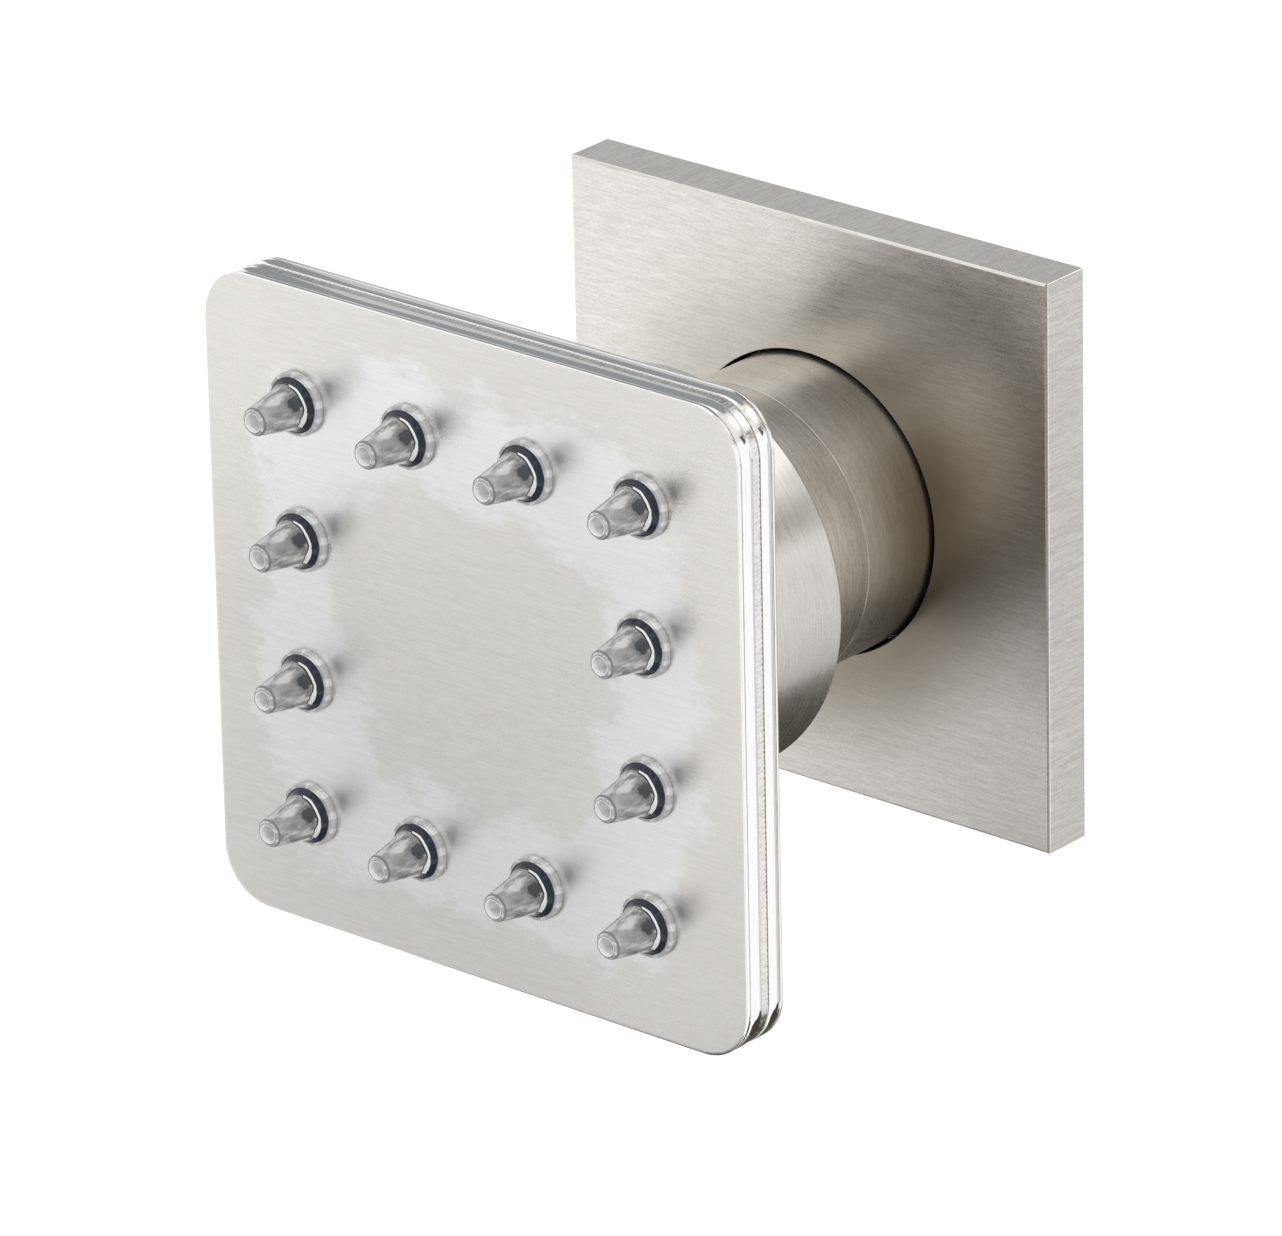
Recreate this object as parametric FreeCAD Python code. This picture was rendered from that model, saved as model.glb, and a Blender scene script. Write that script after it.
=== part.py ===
import FreeCAD, Part
import math
import os

from FreeCAD import Vector

# Square shower body jet on a ball joint, sizes in millimetres.
# The origin is on the wall plane at the inlet's axis. +Z is up, +X is to the right of someone who
# faces the wall, and +Y goes into the wall, so the jet sprays towards -Y. A "reach" is a distance
# out from the wall, and a "radius" is measured from the jet's axis.

# Wall flange
FLANGE_SIDE = 54.0
FLANGE_THICKNESS = 5.2
FLANGE_RIM_WALL = 2.2
FLANGE_FRONT_WALL = 1.8
FLANGE_EDGE_BREAK = 0.2
FLANGE_BORE_GAP = 0.35
FLANGE_BOSS_WALL = 3.2
FLANGE_BOSS_SETBACK = 0.6
FLANGE_GROOVE_CENTRE = 3.3
FLANGE_RING_THICKNESS = 1.7

# Neck and its threaded inlet
NECK_RADIUS = 14.0
NECK_SEAM_REACH = 14.0
NECK_SEAM_BREAK = 0.25
NECK_SPIGOT_LENGTH = 3.6
NECK_FLAT_WIDTH = 26.0
NECK_FLAT_LENGTH = 2.2
INLET_THREAD_RADIUS = 9.25
INLET_THREAD_LENGTH = 9.8
INLET_MOUTH_WIDENING = 0.5
WASHER_POCKET_RADIUS = 9.8
COLLAR_WALL = 1.3
COLLAR_EDGE_BREAK = 0.3

# Washer, screen and flow restrictor in the inlet
WASHER_THICKNESS = 1.8
WASHER_OPENING_RADIUS = 5.6
SCREEN_RADIUS = 6.8
SCREEN_THICKNESS = 0.6
SCREEN_HOLE_RADIUS = 1.1
SCREEN_HOLE_PITCH = 3.4
SCREEN_HOLE_COUNT = 6
RESTRICTOR_LENGTH = 3.0
RESTRICTOR_ORIFICE_RADIUS = 1.1
RESTRICTOR_RING_THICKNESS = 1.0

# Hollow ball on its threaded stem
BALL_REACH = 32.0
BALL_RADIUS = 10.0
STEM_RADIUS = 5.0
STEM_BORE_RADIUS = 3.2
STEM_POCKET_RADIUS = 4.0
STEM_POCKET_DEPTH = 3.4
STEM_END_GAP = 0.3
STEM_HEX_ACROSS = 15.0
STEM_HEX_LENGTH = 3.0
STEM_RING_THICKNESS = 1.3

# Socket round the ball
SEAT_WALL = 1.0
SEAT_SLIDE = 0.03
FRONT_SEAT_START_ANGLE = 50.0
FRONT_SEAT_END_ANGLE = 72.0
REAR_SEAT_START_ANGLE = 100.0
REAR_SEAT_END_ANGLE = 117.0
BALL_SEAL_ANGLE = 38.0
BALL_SEAL_THICKNESS = 1.8
SOCKET_RADIUS = 13.0
SOCKET_REAR_DEPTH = 4.6
SOCKET_THREAD_RADIUS = 11.8
SOCKET_THREAD_START = 0.4
SOCKET_THROAT_RADIUS = 5.2
SOCKET_SPIGOT_RADIUS = 8.0
SOCKET_EDGE_BREAK = 0.8
NUT_LIP_ANGLE = 130.0
NUT_FLANGE_RADIUS = 12.2
NUT_FLANGE_THICKNESS = 0.9
NUT_REAR_RADIUS = 10.4
NUT_SLOT_WIDTH = 2.4

# Cup that covers the ball joint
CUP_RADIUS = 18.85
CUP_WALL = 1.25
CUP_RIM_REACH = 23.6
CUP_FLOOR = 1.2
CUP_RIM_ROUND = 0.35

# Square head
HEAD_SIDE = 60.0
HEAD_CORNER = 5.0
HEAD_BACK_REACH = 46.0
BACK_PLATE_DEPTH = 1.85
SEAM_HEIGHT = 0.95
FRONT_PLATE_DEPTH = 2.0
FACE_WALL = 1.2
BACK_WALL = 1.0
SKIRT_WALL = 1.3
SEAM_RECESS = 0.12
PLATE_EDGE_BREAK = 0.12
LIP_WIDTH = 0.35
LIP_GROOVE_WIDTH = 0.16
LIP_GROOVE_DEPTH = 0.14

# Nut that holds the socket to the back plate
HUB_WASHER_THICKNESS = 0.5
HUB_WASHER_WALL = 3.0
HUB_NUT_ACROSS = 21.0
HUB_NUT_THICKNESS = 1.5
HUB_THREAD_SPARE = 0.2

# Screws that close the head
SCREW_EDGE_DISTANCE = 5.6
SCREW_SHANK_RADIUS = 1.2
SCREW_HEAD_RADIUS = 2.2
SCREW_HEAD_HEIGHT = 1.3
SCREW_SOCKET_ACROSS = 1.5
SCREW_SOCKET_DEPTH = 0.7
SCREW_TIP_GAP = 0.4
BOSS_RADIUS = 2.5
BOSS_HOLE_SPARE = 0.3

# Soft spray nozzles
NOZZLE_EDGE_DISTANCE = 10.65
NOZZLE_MIDDLE_SPACING = 13.3
NOZZLE_HEIGHT = 5.9
NOZZLE_TIP_RADIUS = 1.28
NOZZLE_TIP_BREAK = 0.25
NOZZLE_BODY_RADIUS = 1.95
NOZZLE_FLARE_HEIGHT = 2.1
NOZZLE_FLARE_RADIUS = 2.45
NOZZLE_FLARE_HOLLOW = 0.09
NOZZLE_BEAD_RADIUS = 2.95
NOZZLE_BEAD_HEIGHT = 0.75
NOZZLE_BEAD_UNDERCUT = 0.15
NOZZLE_WAIST_RADIUS = 2.15
NOZZLE_FOOT_RADIUS = 3.0
NOZZLE_FOOT_THICKNESS = 0.8
NOZZLE_INTAKE_RADIUS = 1.7
NOZZLE_OUTLET_RADIUS = 0.8
NOZZLE_THROAT_HEIGHT = 3.4

# Clearances, on the radius unless named otherwise
THREAD_FIT = 0.03
SLIDE_FIT = 0.05
RING_FIT = 0.02
SWIVEL_GAP = 0.1

# Places that follow from the sizes above
SCREW_PLACE = HEAD_SIDE / 2 - SCREW_EDGE_DISTANCE
NOZZLE_OUTER_PLACE = HEAD_SIDE / 2 - NOZZLE_EDGE_DISTANCE
NOZZLE_INNER_PLACE = NOZZLE_MIDDLE_SPACING / 2
NECK_FRONT_REACH = NECK_SEAM_REACH + NECK_SPIGOT_LENGTH
COLLAR_BORE_RADIUS = NECK_RADIUS - COLLAR_WALL
SOCKET_BALL_RADIUS = BALL_RADIUS + SEAT_WALL
WASHER_REAR_REACH = INLET_MOUTH_WIDENING + INLET_THREAD_LENGTH
INLET_FLOOR_REACH = WASHER_REAR_REACH + WASHER_THICKNESS
STEM_REAR_REACH = INLET_FLOOR_REACH + STEM_END_GAP
STEM_HEX_FRONT = NECK_FRONT_REACH + STEM_HEX_LENGTH
CUP_BORE_RADIUS = CUP_RADIUS - CUP_WALL
CUP_FLOOR_REACH = HEAD_BACK_REACH - CUP_FLOOR
SEAM_REAR_REACH = HEAD_BACK_REACH + BACK_PLATE_DEPTH
SEAM_FRONT_REACH = SEAM_REAR_REACH + SEAM_HEIGHT
FACE_REACH = SEAM_FRONT_REACH + FRONT_PLATE_DEPTH
CHAMBER_REAR_REACH = HEAD_BACK_REACH + BACK_WALL
CHAMBER_FRONT_REACH = FACE_REACH - FACE_WALL
HUB_NUT_REACH = CHAMBER_REAR_REACH + HUB_WASHER_THICKNESS
SPIGOT_END_REACH = HUB_NUT_REACH + HUB_NUT_THICKNESS + HUB_THREAD_SPARE
SOCKET_REAR_REACH = BALL_REACH - SOCKET_REAR_DEPTH
SOCKET_SWEEP_RADIUS = math.hypot(SOCKET_RADIUS, SOCKET_REAR_DEPTH) + SWIVEL_GAP
COLLAR_FRONT_REACH = BALL_REACH - math.sqrt(SOCKET_SWEEP_RADIUS ** 2 - COLLAR_BORE_RADIUS ** 2)

AXIS_START = Vector(0, 0, 0)
AXIS_WAY = Vector(0, 1, 0)


def spot(place):
    """Turn a (radius, reach) pair into a point of the half section."""
    radius, reach = place
    return Vector(radius, -reach, 0)


def on_ball(radius, angle):
    """Give the (radius, reach) pair on a sphere about the ball's centre.

    The angle is measured in degrees from the spray direction.
    """
    turn = math.radians(angle)
    return radius * math.sin(turn), BALL_REACH + radius * math.cos(turn)


def line(start, end):
    """Make a straight edge between two (radius, reach) pairs."""
    return Part.LineSegment(spot(start), spot(end)).toShape()


def arc(start, middle, end):
    """Make a round edge through three (radius, reach) pairs."""
    return Part.Arc(spot(start), spot(middle), spot(end)).toShape()


def ball_arc(radius, start, end):
    """Make the edge of a sphere about the ball's centre between two angles."""
    middle = (start + end) / 2
    return arc(on_ball(radius, start), on_ball(radius, middle), on_ball(radius, end))


def revolved(edges):
    """Revolve a closed run of edges about the jet's axis."""
    face = Part.Face(Part.Wire(edges))
    solid = face.revolve(AXIS_START, AXIS_WAY, 360)
    if solid.Volume < 0:
        solid.reverse()
    return solid


def turned(places):
    """Revolve a closed outline of straight lines given as (radius, reach) pairs."""
    ends = places[1:] + places[:1]
    return revolved([line(start, end) for start, end in zip(places, ends)])


def rod(radius, rear, front, x=0.0, z=0.0):
    """Make a cylinder along the spray direction between two reaches."""
    return Part.makeCylinder(radius, front - rear, Vector(x, -rear, z), Vector(0, -1, 0))


def hex_prism(across, rear, front, x=0.0, z=0.0):
    """Make a hexagonal prism along the spray direction, given its width across the flats."""
    corner = across / 2 / math.cos(math.pi / 6)
    turns = [math.pi / 3 * step for step in range(7)]
    points = [Vector(x + corner * math.cos(t), -rear, z + corner * math.sin(t)) for t in turns]
    return Part.Face(Part.makePolygon(points)).extrude(Vector(0, rear - front, 0))


def ring(major, thickness, reach):
    """Make a round sealing ring about the jet's axis."""
    return Part.makeTorus(major, thickness / 2, Vector(0, -reach, 0), AXIS_WAY)


def square_slab(side, corner, rear, front):
    """Make a square slab with rounded upright corners between two reaches."""
    block = Part.makeBox(side, front - rear, side, Vector(-side / 2, -front, -side / 2))
    if corner <= 0:
        return block
    upright = [edge for edge in block.Edges if abs(edge.tangentAt(edge.FirstParameter).y) > 0.9]
    return block.makeFillet(corner, upright)


def edges_at(shape, reach):
    """List the edges of a shape that lie in the plane at one reach."""
    near = 1e-6
    return [
        edge
        for edge in shape.Edges
        if abs(edge.BoundBox.YMin + reach) < near and abs(edge.BoundBox.YMax + reach) < near
    ]


def plate_band(rear, front):
    """Make one plate of the head as a full slab with its two outer edges broken."""
    slab = square_slab(HEAD_SIDE, HEAD_CORNER, rear, front)
    break_size = min(PLATE_EDGE_BREAK, HEAD_CORNER / 2)
    return slab.makeChamfer(break_size, edges_at(slab, rear) + edges_at(slab, front))


def lip_groove(rear):
    """Make the fine groove that sets a thin lip off from the plate's edge band."""
    front = rear + LIP_GROOVE_WIDTH
    outside = square_slab(HEAD_SIDE + 2 * LIP_WIDTH, HEAD_CORNER + LIP_WIDTH, rear, front)
    inside = square_slab(
        HEAD_SIDE - 2 * LIP_GROOVE_DEPTH, HEAD_CORNER - LIP_GROOVE_DEPTH, rear, front
    )
    return outside.cut(inside)


def chamber_slab(rear, front):
    """Make the hollow between the skirts of the two plates."""
    return square_slab(HEAD_SIDE - 2 * SKIRT_WALL, HEAD_CORNER - SKIRT_WALL, rear, front)


def screw_places():
    """List the (x, z) places of the four closing screws."""
    return [(x, z) for x in (-SCREW_PLACE, SCREW_PLACE) for z in (-SCREW_PLACE, SCREW_PLACE)]


def nozzle_places():
    """List the (x, z) places of the nozzles row by row, leaving the middle of the face clear."""
    steps = (-NOZZLE_OUTER_PLACE, -NOZZLE_INNER_PLACE, NOZZLE_INNER_PLACE, NOZZLE_OUTER_PLACE)
    outer = (steps[0], steps[-1])
    return [(x, z) for z in reversed(steps) for x in steps if x in outer or z in outer]


def wall_flange():
    """Make the square cover plate with its hollow back, boss and ring groove."""
    bore = NECK_RADIUS + FLANGE_BORE_GAP
    cavity_front = FLANGE_THICKNESS - FLANGE_FRONT_WALL
    plate = square_slab(FLANGE_SIDE, 0, 0, FLANGE_THICKNESS)
    plate = plate.makeChamfer(FLANGE_EDGE_BREAK, edges_at(plate, FLANGE_THICKNESS))
    plate = plate.cut(square_slab(FLANGE_SIDE - 2 * FLANGE_RIM_WALL, 0, 0, cavity_front))
    boss = rod(bore + FLANGE_BOSS_WALL, FLANGE_BOSS_SETBACK, FLANGE_THICKNESS - FLANGE_EDGE_BREAK)
    half_groove = FLANGE_RING_THICKNESS / 2 + RING_FIT
    groove = rod(
        NECK_RADIUS + FLANGE_RING_THICKNESS + RING_FIT,
        FLANGE_GROOVE_CENTRE - half_groove,
        FLANGE_GROOVE_CENTRE + half_groove,
    )
    return plate.fuse(boss).cut(rod(bore, 0, FLANGE_THICKNESS)).cut(groove).removeSplitter()


def flange_ring():
    """Make the rubber ring that grips the neck inside the flange."""
    middle = NECK_RADIUS + FLANGE_RING_THICKNESS / 2 + RING_FIT / 2
    return ring(middle, FLANGE_RING_THICKNESS, FLANGE_GROOVE_CENTRE)


def neck_body():
    """Make the turned neck with its threaded inlet, stem thread and spanner flats."""
    pocket = STEM_RADIUS + STEM_RING_THICKNESS + SLIDE_FIT
    seam_edge = NECK_RADIUS - NECK_SEAM_BREAK
    neck = turned([
        (INLET_THREAD_RADIUS + INLET_MOUTH_WIDENING, 0),
        (NECK_RADIUS - NECK_SEAM_BREAK, 0),
        (NECK_RADIUS, NECK_SEAM_BREAK),
        (NECK_RADIUS, NECK_SEAM_REACH - NECK_SEAM_BREAK),
        (seam_edge, NECK_SEAM_REACH),
        (COLLAR_BORE_RADIUS - RING_FIT, NECK_SEAM_REACH),
        (COLLAR_BORE_RADIUS - RING_FIT, NECK_FRONT_REACH),
        (pocket, NECK_FRONT_REACH),
        (pocket, NECK_FRONT_REACH - STEM_RING_THICKNESS),
        (STEM_RADIUS + THREAD_FIT, NECK_FRONT_REACH - STEM_RING_THICKNESS),
        (STEM_RADIUS + THREAD_FIT, INLET_FLOOR_REACH),
        (WASHER_POCKET_RADIUS, INLET_FLOOR_REACH),
        (WASHER_POCKET_RADIUS, WASHER_REAR_REACH),
        (INLET_THREAD_RADIUS, WASHER_REAR_REACH),
        (INLET_THREAD_RADIUS, INLET_MOUTH_WIDENING),
    ])
    for side in (-1, 1):
        middle = side * (NECK_FLAT_WIDTH / 2 + NECK_RADIUS / 2)
        corner = Vector(middle - NECK_RADIUS / 2, -NECK_FLAT_LENGTH, -NECK_RADIUS)
        neck = neck.cut(Part.makeBox(NECK_RADIUS, NECK_FLAT_LENGTH, 2 * NECK_RADIUS, corner))
    return neck


def neck_collar():
    """Make the thin sleeve in front of the seam, which hides the gap behind the cup."""
    return turned([
        (COLLAR_BORE_RADIUS, NECK_SEAM_REACH),
        (NECK_RADIUS - NECK_SEAM_BREAK, NECK_SEAM_REACH),
        (NECK_RADIUS, NECK_SEAM_REACH + NECK_SEAM_BREAK),
        (NECK_RADIUS, COLLAR_FRONT_REACH - COLLAR_EDGE_BREAK),
        (NECK_RADIUS - COLLAR_EDGE_BREAK, COLLAR_FRONT_REACH),
        (COLLAR_BORE_RADIUS, COLLAR_FRONT_REACH),
    ])


def inlet_washer():
    """Make the sealing washer at the end of the inlet thread, stepped for the screen."""
    outer = WASHER_POCKET_RADIUS - SLIDE_FIT
    step = SCREEN_RADIUS + RING_FIT
    step_reach = WASHER_REAR_REACH + SCREEN_THICKNESS
    return turned([
        (step, WASHER_REAR_REACH),
        (outer, WASHER_REAR_REACH),
        (outer, INLET_FLOOR_REACH),
        (WASHER_OPENING_RADIUS, INLET_FLOOR_REACH),
        (WASHER_OPENING_RADIUS, step_reach),
        (step, step_reach),
    ])


def inlet_screen():
    """Make the perforated screen disc, with a ring of holes round a middle hole."""
    rear = WASHER_REAR_REACH
    front = rear + SCREEN_THICKNESS
    holes = [rod(SCREEN_HOLE_RADIUS, rear, front)]
    for step in range(SCREEN_HOLE_COUNT):
        turn = 2 * math.pi * step / SCREEN_HOLE_COUNT
        place = (SCREEN_HOLE_PITCH * math.cos(turn), SCREEN_HOLE_PITCH * math.sin(turn))
        holes.append(rod(SCREEN_HOLE_RADIUS, rear, front, *place))
    return rod(SCREEN_RADIUS, rear, front).cut(Part.makeCompound(holes))


def ring_groove_span():
    """Give the rear and front reach of the restrictor's ring groove."""
    middle = STEM_REAR_REACH + STEM_POCKET_DEPTH - RESTRICTOR_LENGTH / 2
    half = RESTRICTOR_RING_THICKNESS / 2 + RING_FIT
    return middle - half, middle + half


def flow_restrictor():
    """Make the plastic flow disc that sits in the stem's rear pocket."""
    front = STEM_REAR_REACH + STEM_POCKET_DEPTH
    rear = front - RESTRICTOR_LENGTH
    outer = STEM_POCKET_RADIUS - SLIDE_FIT
    floor = STEM_POCKET_RADIUS - RESTRICTOR_RING_THICKNESS - RING_FIT
    groove_rear, groove_front = ring_groove_span()
    return turned([
        (RESTRICTOR_ORIFICE_RADIUS, rear + RESTRICTOR_LENGTH / 2),
        (floor - RING_FIT, rear),
        (outer, rear),
        (outer, groove_rear),
        (floor, groove_rear),
        (floor, groove_front),
        (outer, groove_front),
        (outer, front),
        (RESTRICTOR_ORIFICE_RADIUS, front),
    ])


def restrictor_ring():
    """Make the small ring that seals the flow restrictor in its pocket."""
    middle = STEM_POCKET_RADIUS - RESTRICTOR_RING_THICKNESS / 2 - RING_FIT / 2
    groove_rear, groove_front = ring_groove_span()
    return ring(middle, RESTRICTOR_RING_THICKNESS, (groove_rear + groove_front) / 2)


def ball_stem():
    """Make the hollow ball with its stem, spanner hexagon and rear pocket."""
    ball = Part.makeSphere(BALL_RADIUS, Vector(0, -BALL_REACH, 0), AXIS_WAY)
    stem = rod(STEM_RADIUS, STEM_REAR_REACH, BALL_REACH)
    hexagon = hex_prism(STEM_HEX_ACROSS, NECK_FRONT_REACH, STEM_HEX_FRONT)
    bore = rod(STEM_BORE_RADIUS, STEM_REAR_REACH, BALL_REACH + BALL_RADIUS)
    pocket = rod(STEM_POCKET_RADIUS, STEM_REAR_REACH, STEM_REAR_REACH + STEM_POCKET_DEPTH)
    return ball.fuse([stem, hexagon]).cut([bore, pocket]).removeSplitter()


def stem_ring():
    """Make the ring that seals the stem's hexagon on the neck's front face."""
    middle = STEM_RADIUS + STEM_RING_THICKNESS / 2 + SLIDE_FIT / 2
    return ring(middle, STEM_RING_THICKNESS, NECK_FRONT_REACH - STEM_RING_THICKNESS / 2)


def seat_ring(start, end):
    """Make one low-friction seat ring that slides between the ball and its socket."""
    inner = BALL_RADIUS + SEAT_SLIDE
    outer = SOCKET_BALL_RADIUS - SEAT_SLIDE
    return revolved([
        ball_arc(inner, start, end),
        line(on_ball(inner, end), on_ball(outer, end)),
        ball_arc(outer, end, start),
        line(on_ball(outer, start), on_ball(inner, start)),
    ])


def ball_seal_place():
    """Give the (radius, reach) pair of the ball seal's section centre."""
    return on_ball(BALL_RADIUS + SEAT_SLIDE + BALL_SEAL_THICKNESS / 2, BALL_SEAL_ANGLE)


def ball_seal():
    """Make the ring that seals the ball in front of the seat rings."""
    radius, reach = ball_seal_place()
    return ring(radius, BALL_SEAL_THICKNESS, reach)


def socket_body():
    """Make the socket in front of the ball, with its rear thread and threaded front spigot."""
    throat_angle = math.degrees(math.asin(SOCKET_THROAT_RADIUS / SOCKET_BALL_RADIUS))
    thread = SOCKET_THREAD_RADIUS + THREAD_FIT
    thread_reach = BALL_REACH - SOCKET_THREAD_START
    rim_angle = math.degrees(math.acos(-SOCKET_THREAD_START / SOCKET_BALL_RADIUS))
    places = [
        on_ball(SOCKET_BALL_RADIUS, rim_angle),
        (thread, thread_reach),
        (thread, SOCKET_REAR_REACH),
        (SOCKET_RADIUS - SOCKET_EDGE_BREAK, SOCKET_REAR_REACH),
        (SOCKET_RADIUS, SOCKET_REAR_REACH + SOCKET_EDGE_BREAK),
        (SOCKET_RADIUS, CUP_FLOOR_REACH),
        (SOCKET_SPIGOT_RADIUS, CUP_FLOOR_REACH),
        (SOCKET_SPIGOT_RADIUS, SPIGOT_END_REACH),
        (SOCKET_THROAT_RADIUS, SPIGOT_END_REACH),
        on_ball(SOCKET_BALL_RADIUS, throat_angle),
    ]
    edges = [line(start, end) for start, end in zip(places, places[1:])]
    edges.append(ball_arc(SOCKET_BALL_RADIUS, throat_angle, rim_angle))
    radius, reach = ball_seal_place()
    return revolved(edges).cut(ring(radius, BALL_SEAL_THICKNESS + 2 * RING_FIT, reach))


def retaining_nut():
    """Make the threaded ring behind the ball, with its round seat and spanner slots."""
    start_angle = math.degrees(math.acos(-SOCKET_THREAD_START / SOCKET_BALL_RADIUS))
    lip_radius, lip_reach = on_ball(SOCKET_BALL_RADIUS, NUT_LIP_ANGLE)
    flange_rear = SOCKET_REAR_REACH - NUT_FLANGE_THICKNESS
    places = [
        (lip_radius, lip_reach),
        (NUT_REAR_RADIUS, lip_reach),
        (NUT_FLANGE_RADIUS, flange_rear),
        (NUT_FLANGE_RADIUS, SOCKET_REAR_REACH),
        (SOCKET_THREAD_RADIUS, SOCKET_REAR_REACH),
        (SOCKET_THREAD_RADIUS, BALL_REACH - SOCKET_THREAD_START),
        on_ball(SOCKET_BALL_RADIUS, start_angle),
    ]
    edges = [line(start, end) for start, end in zip(places, places[1:])]
    edges.append(ball_arc(SOCKET_BALL_RADIUS, start_angle, NUT_LIP_ANGLE))
    slot = Part.makeBox(
        NUT_SLOT_WIDTH,
        flange_rear - lip_reach,
        2 * NUT_FLANGE_RADIUS,
        Vector(-NUT_SLOT_WIDTH / 2, -flange_rear, -NUT_FLANGE_RADIUS),
    )
    return revolved(edges).cut(slot)


def swivel_cup():
    """Make the round cup behind the head, open towards the wall."""
    outer_start = (CUP_RADIUS, CUP_RIM_REACH + CUP_RIM_ROUND)
    outer_end = (CUP_RADIUS - CUP_RIM_ROUND, CUP_RIM_REACH)
    slant = CUP_RIM_ROUND * (1 - math.sqrt(0.5))
    edges = [arc(outer_start, (CUP_RADIUS - slant, CUP_RIM_REACH + slant), outer_end)]
    places = [
        outer_end,
        (CUP_BORE_RADIUS, CUP_RIM_REACH),
        (CUP_BORE_RADIUS, CUP_FLOOR_REACH),
        (SOCKET_SPIGOT_RADIUS + SLIDE_FIT, CUP_FLOOR_REACH),
        (SOCKET_SPIGOT_RADIUS + SLIDE_FIT, HEAD_BACK_REACH),
        (CUP_RADIUS, HEAD_BACK_REACH),
        outer_start,
    ]
    edges += [line(start, end) for start, end in zip(places, places[1:])]
    return revolved(edges)


def hub_washer():
    """Make the sealing washer between the back plate and the hub nut."""
    bore = SOCKET_SPIGOT_RADIUS + SLIDE_FIT
    disc = rod(bore + HUB_WASHER_WALL, CHAMBER_REAR_REACH, HUB_NUT_REACH)
    return disc.cut(rod(bore, CHAMBER_REAR_REACH, HUB_NUT_REACH))


def hub_nut():
    """Make the flat nut that draws the cup and back plate onto the socket."""
    front = HUB_NUT_REACH + HUB_NUT_THICKNESS
    bore = rod(SOCKET_SPIGOT_RADIUS + THREAD_FIT, HUB_NUT_REACH, front)
    return hex_prism(HUB_NUT_ACROSS, HUB_NUT_REACH, front).cut(bore)


def back_plate():
    """Make the rear dish of the head, bored for the socket's spigot and the screws."""
    plate = plate_band(HEAD_BACK_REACH, SEAM_REAR_REACH)
    plate = plate.cut(lip_groove(HEAD_BACK_REACH + LIP_WIDTH))
    holes = [chamber_slab(CHAMBER_REAR_REACH, SEAM_REAR_REACH)]
    holes.append(rod(SOCKET_SPIGOT_RADIUS + SLIDE_FIT, HEAD_BACK_REACH, CHAMBER_REAR_REACH))
    for x, z in screw_places():
        holes.append(rod(SCREW_SHANK_RADIUS + SLIDE_FIT, HEAD_BACK_REACH, CHAMBER_REAR_REACH, x, z))
    return plate.cut(holes)


def seam_gasket():
    """Make the narrow ring that seals the joint between the two plates."""
    outer_side = HEAD_SIDE - 2 * SEAM_RECESS
    frame = square_slab(outer_side, HEAD_CORNER - SEAM_RECESS, SEAM_REAR_REACH, SEAM_FRONT_REACH)
    return frame.cut(chamber_slab(SEAM_REAR_REACH, SEAM_FRONT_REACH))


def front_plate():
    """Make the front dish of the head, with its nozzle holes and screw bosses."""
    plate = plate_band(SEAM_FRONT_REACH, FACE_REACH)
    plate = plate.cut(lip_groove(FACE_REACH - LIP_WIDTH - LIP_GROOVE_WIDTH))
    plate = plate.cut(chamber_slab(SEAM_FRONT_REACH, CHAMBER_FRONT_REACH))
    bosses = [rod(BOSS_RADIUS, CHAMBER_REAR_REACH, CHAMBER_FRONT_REACH, x, z) for x, z in screw_places()]
    plate = plate.fuse(bosses)
    boss_holes = [
        rod(SCREW_SHANK_RADIUS + THREAD_FIT, CHAMBER_REAR_REACH, CHAMBER_FRONT_REACH - BOSS_HOLE_SPARE, x, z)
        for x, z in screw_places()
    ]
    hole_radius = NOZZLE_WAIST_RADIUS + SLIDE_FIT
    nozzle_holes = [rod(hole_radius, CHAMBER_FRONT_REACH, FACE_REACH, x, z) for x, z in nozzle_places()]
    return plate.cut(boss_holes + nozzle_holes)


def closing_screw(x, z):
    """Make one screw with a hexagon socket in its low round head."""
    tip_reach = CHAMBER_FRONT_REACH - BOSS_HOLE_SPARE - SCREW_TIP_GAP
    head_rear = HEAD_BACK_REACH - SCREW_HEAD_HEIGHT
    shank = rod(SCREW_SHANK_RADIUS, HEAD_BACK_REACH, tip_reach, x, z)
    head = rod(SCREW_HEAD_RADIUS, head_rear, HEAD_BACK_REACH, x, z)
    head = head.makeChamfer(SCREW_HEAD_HEIGHT / 3, edges_at(head, head_rear))
    socket = hex_prism(SCREW_SOCKET_ACROSS, head_rear, head_rear + SCREW_SOCKET_DEPTH, x, z)
    return shank.fuse(head).cut(socket)


def closing_screws():
    """Make the four screws that hold the head's two plates together."""
    return Part.makeCompound([closing_screw(x, z) for x, z in screw_places()])


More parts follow.
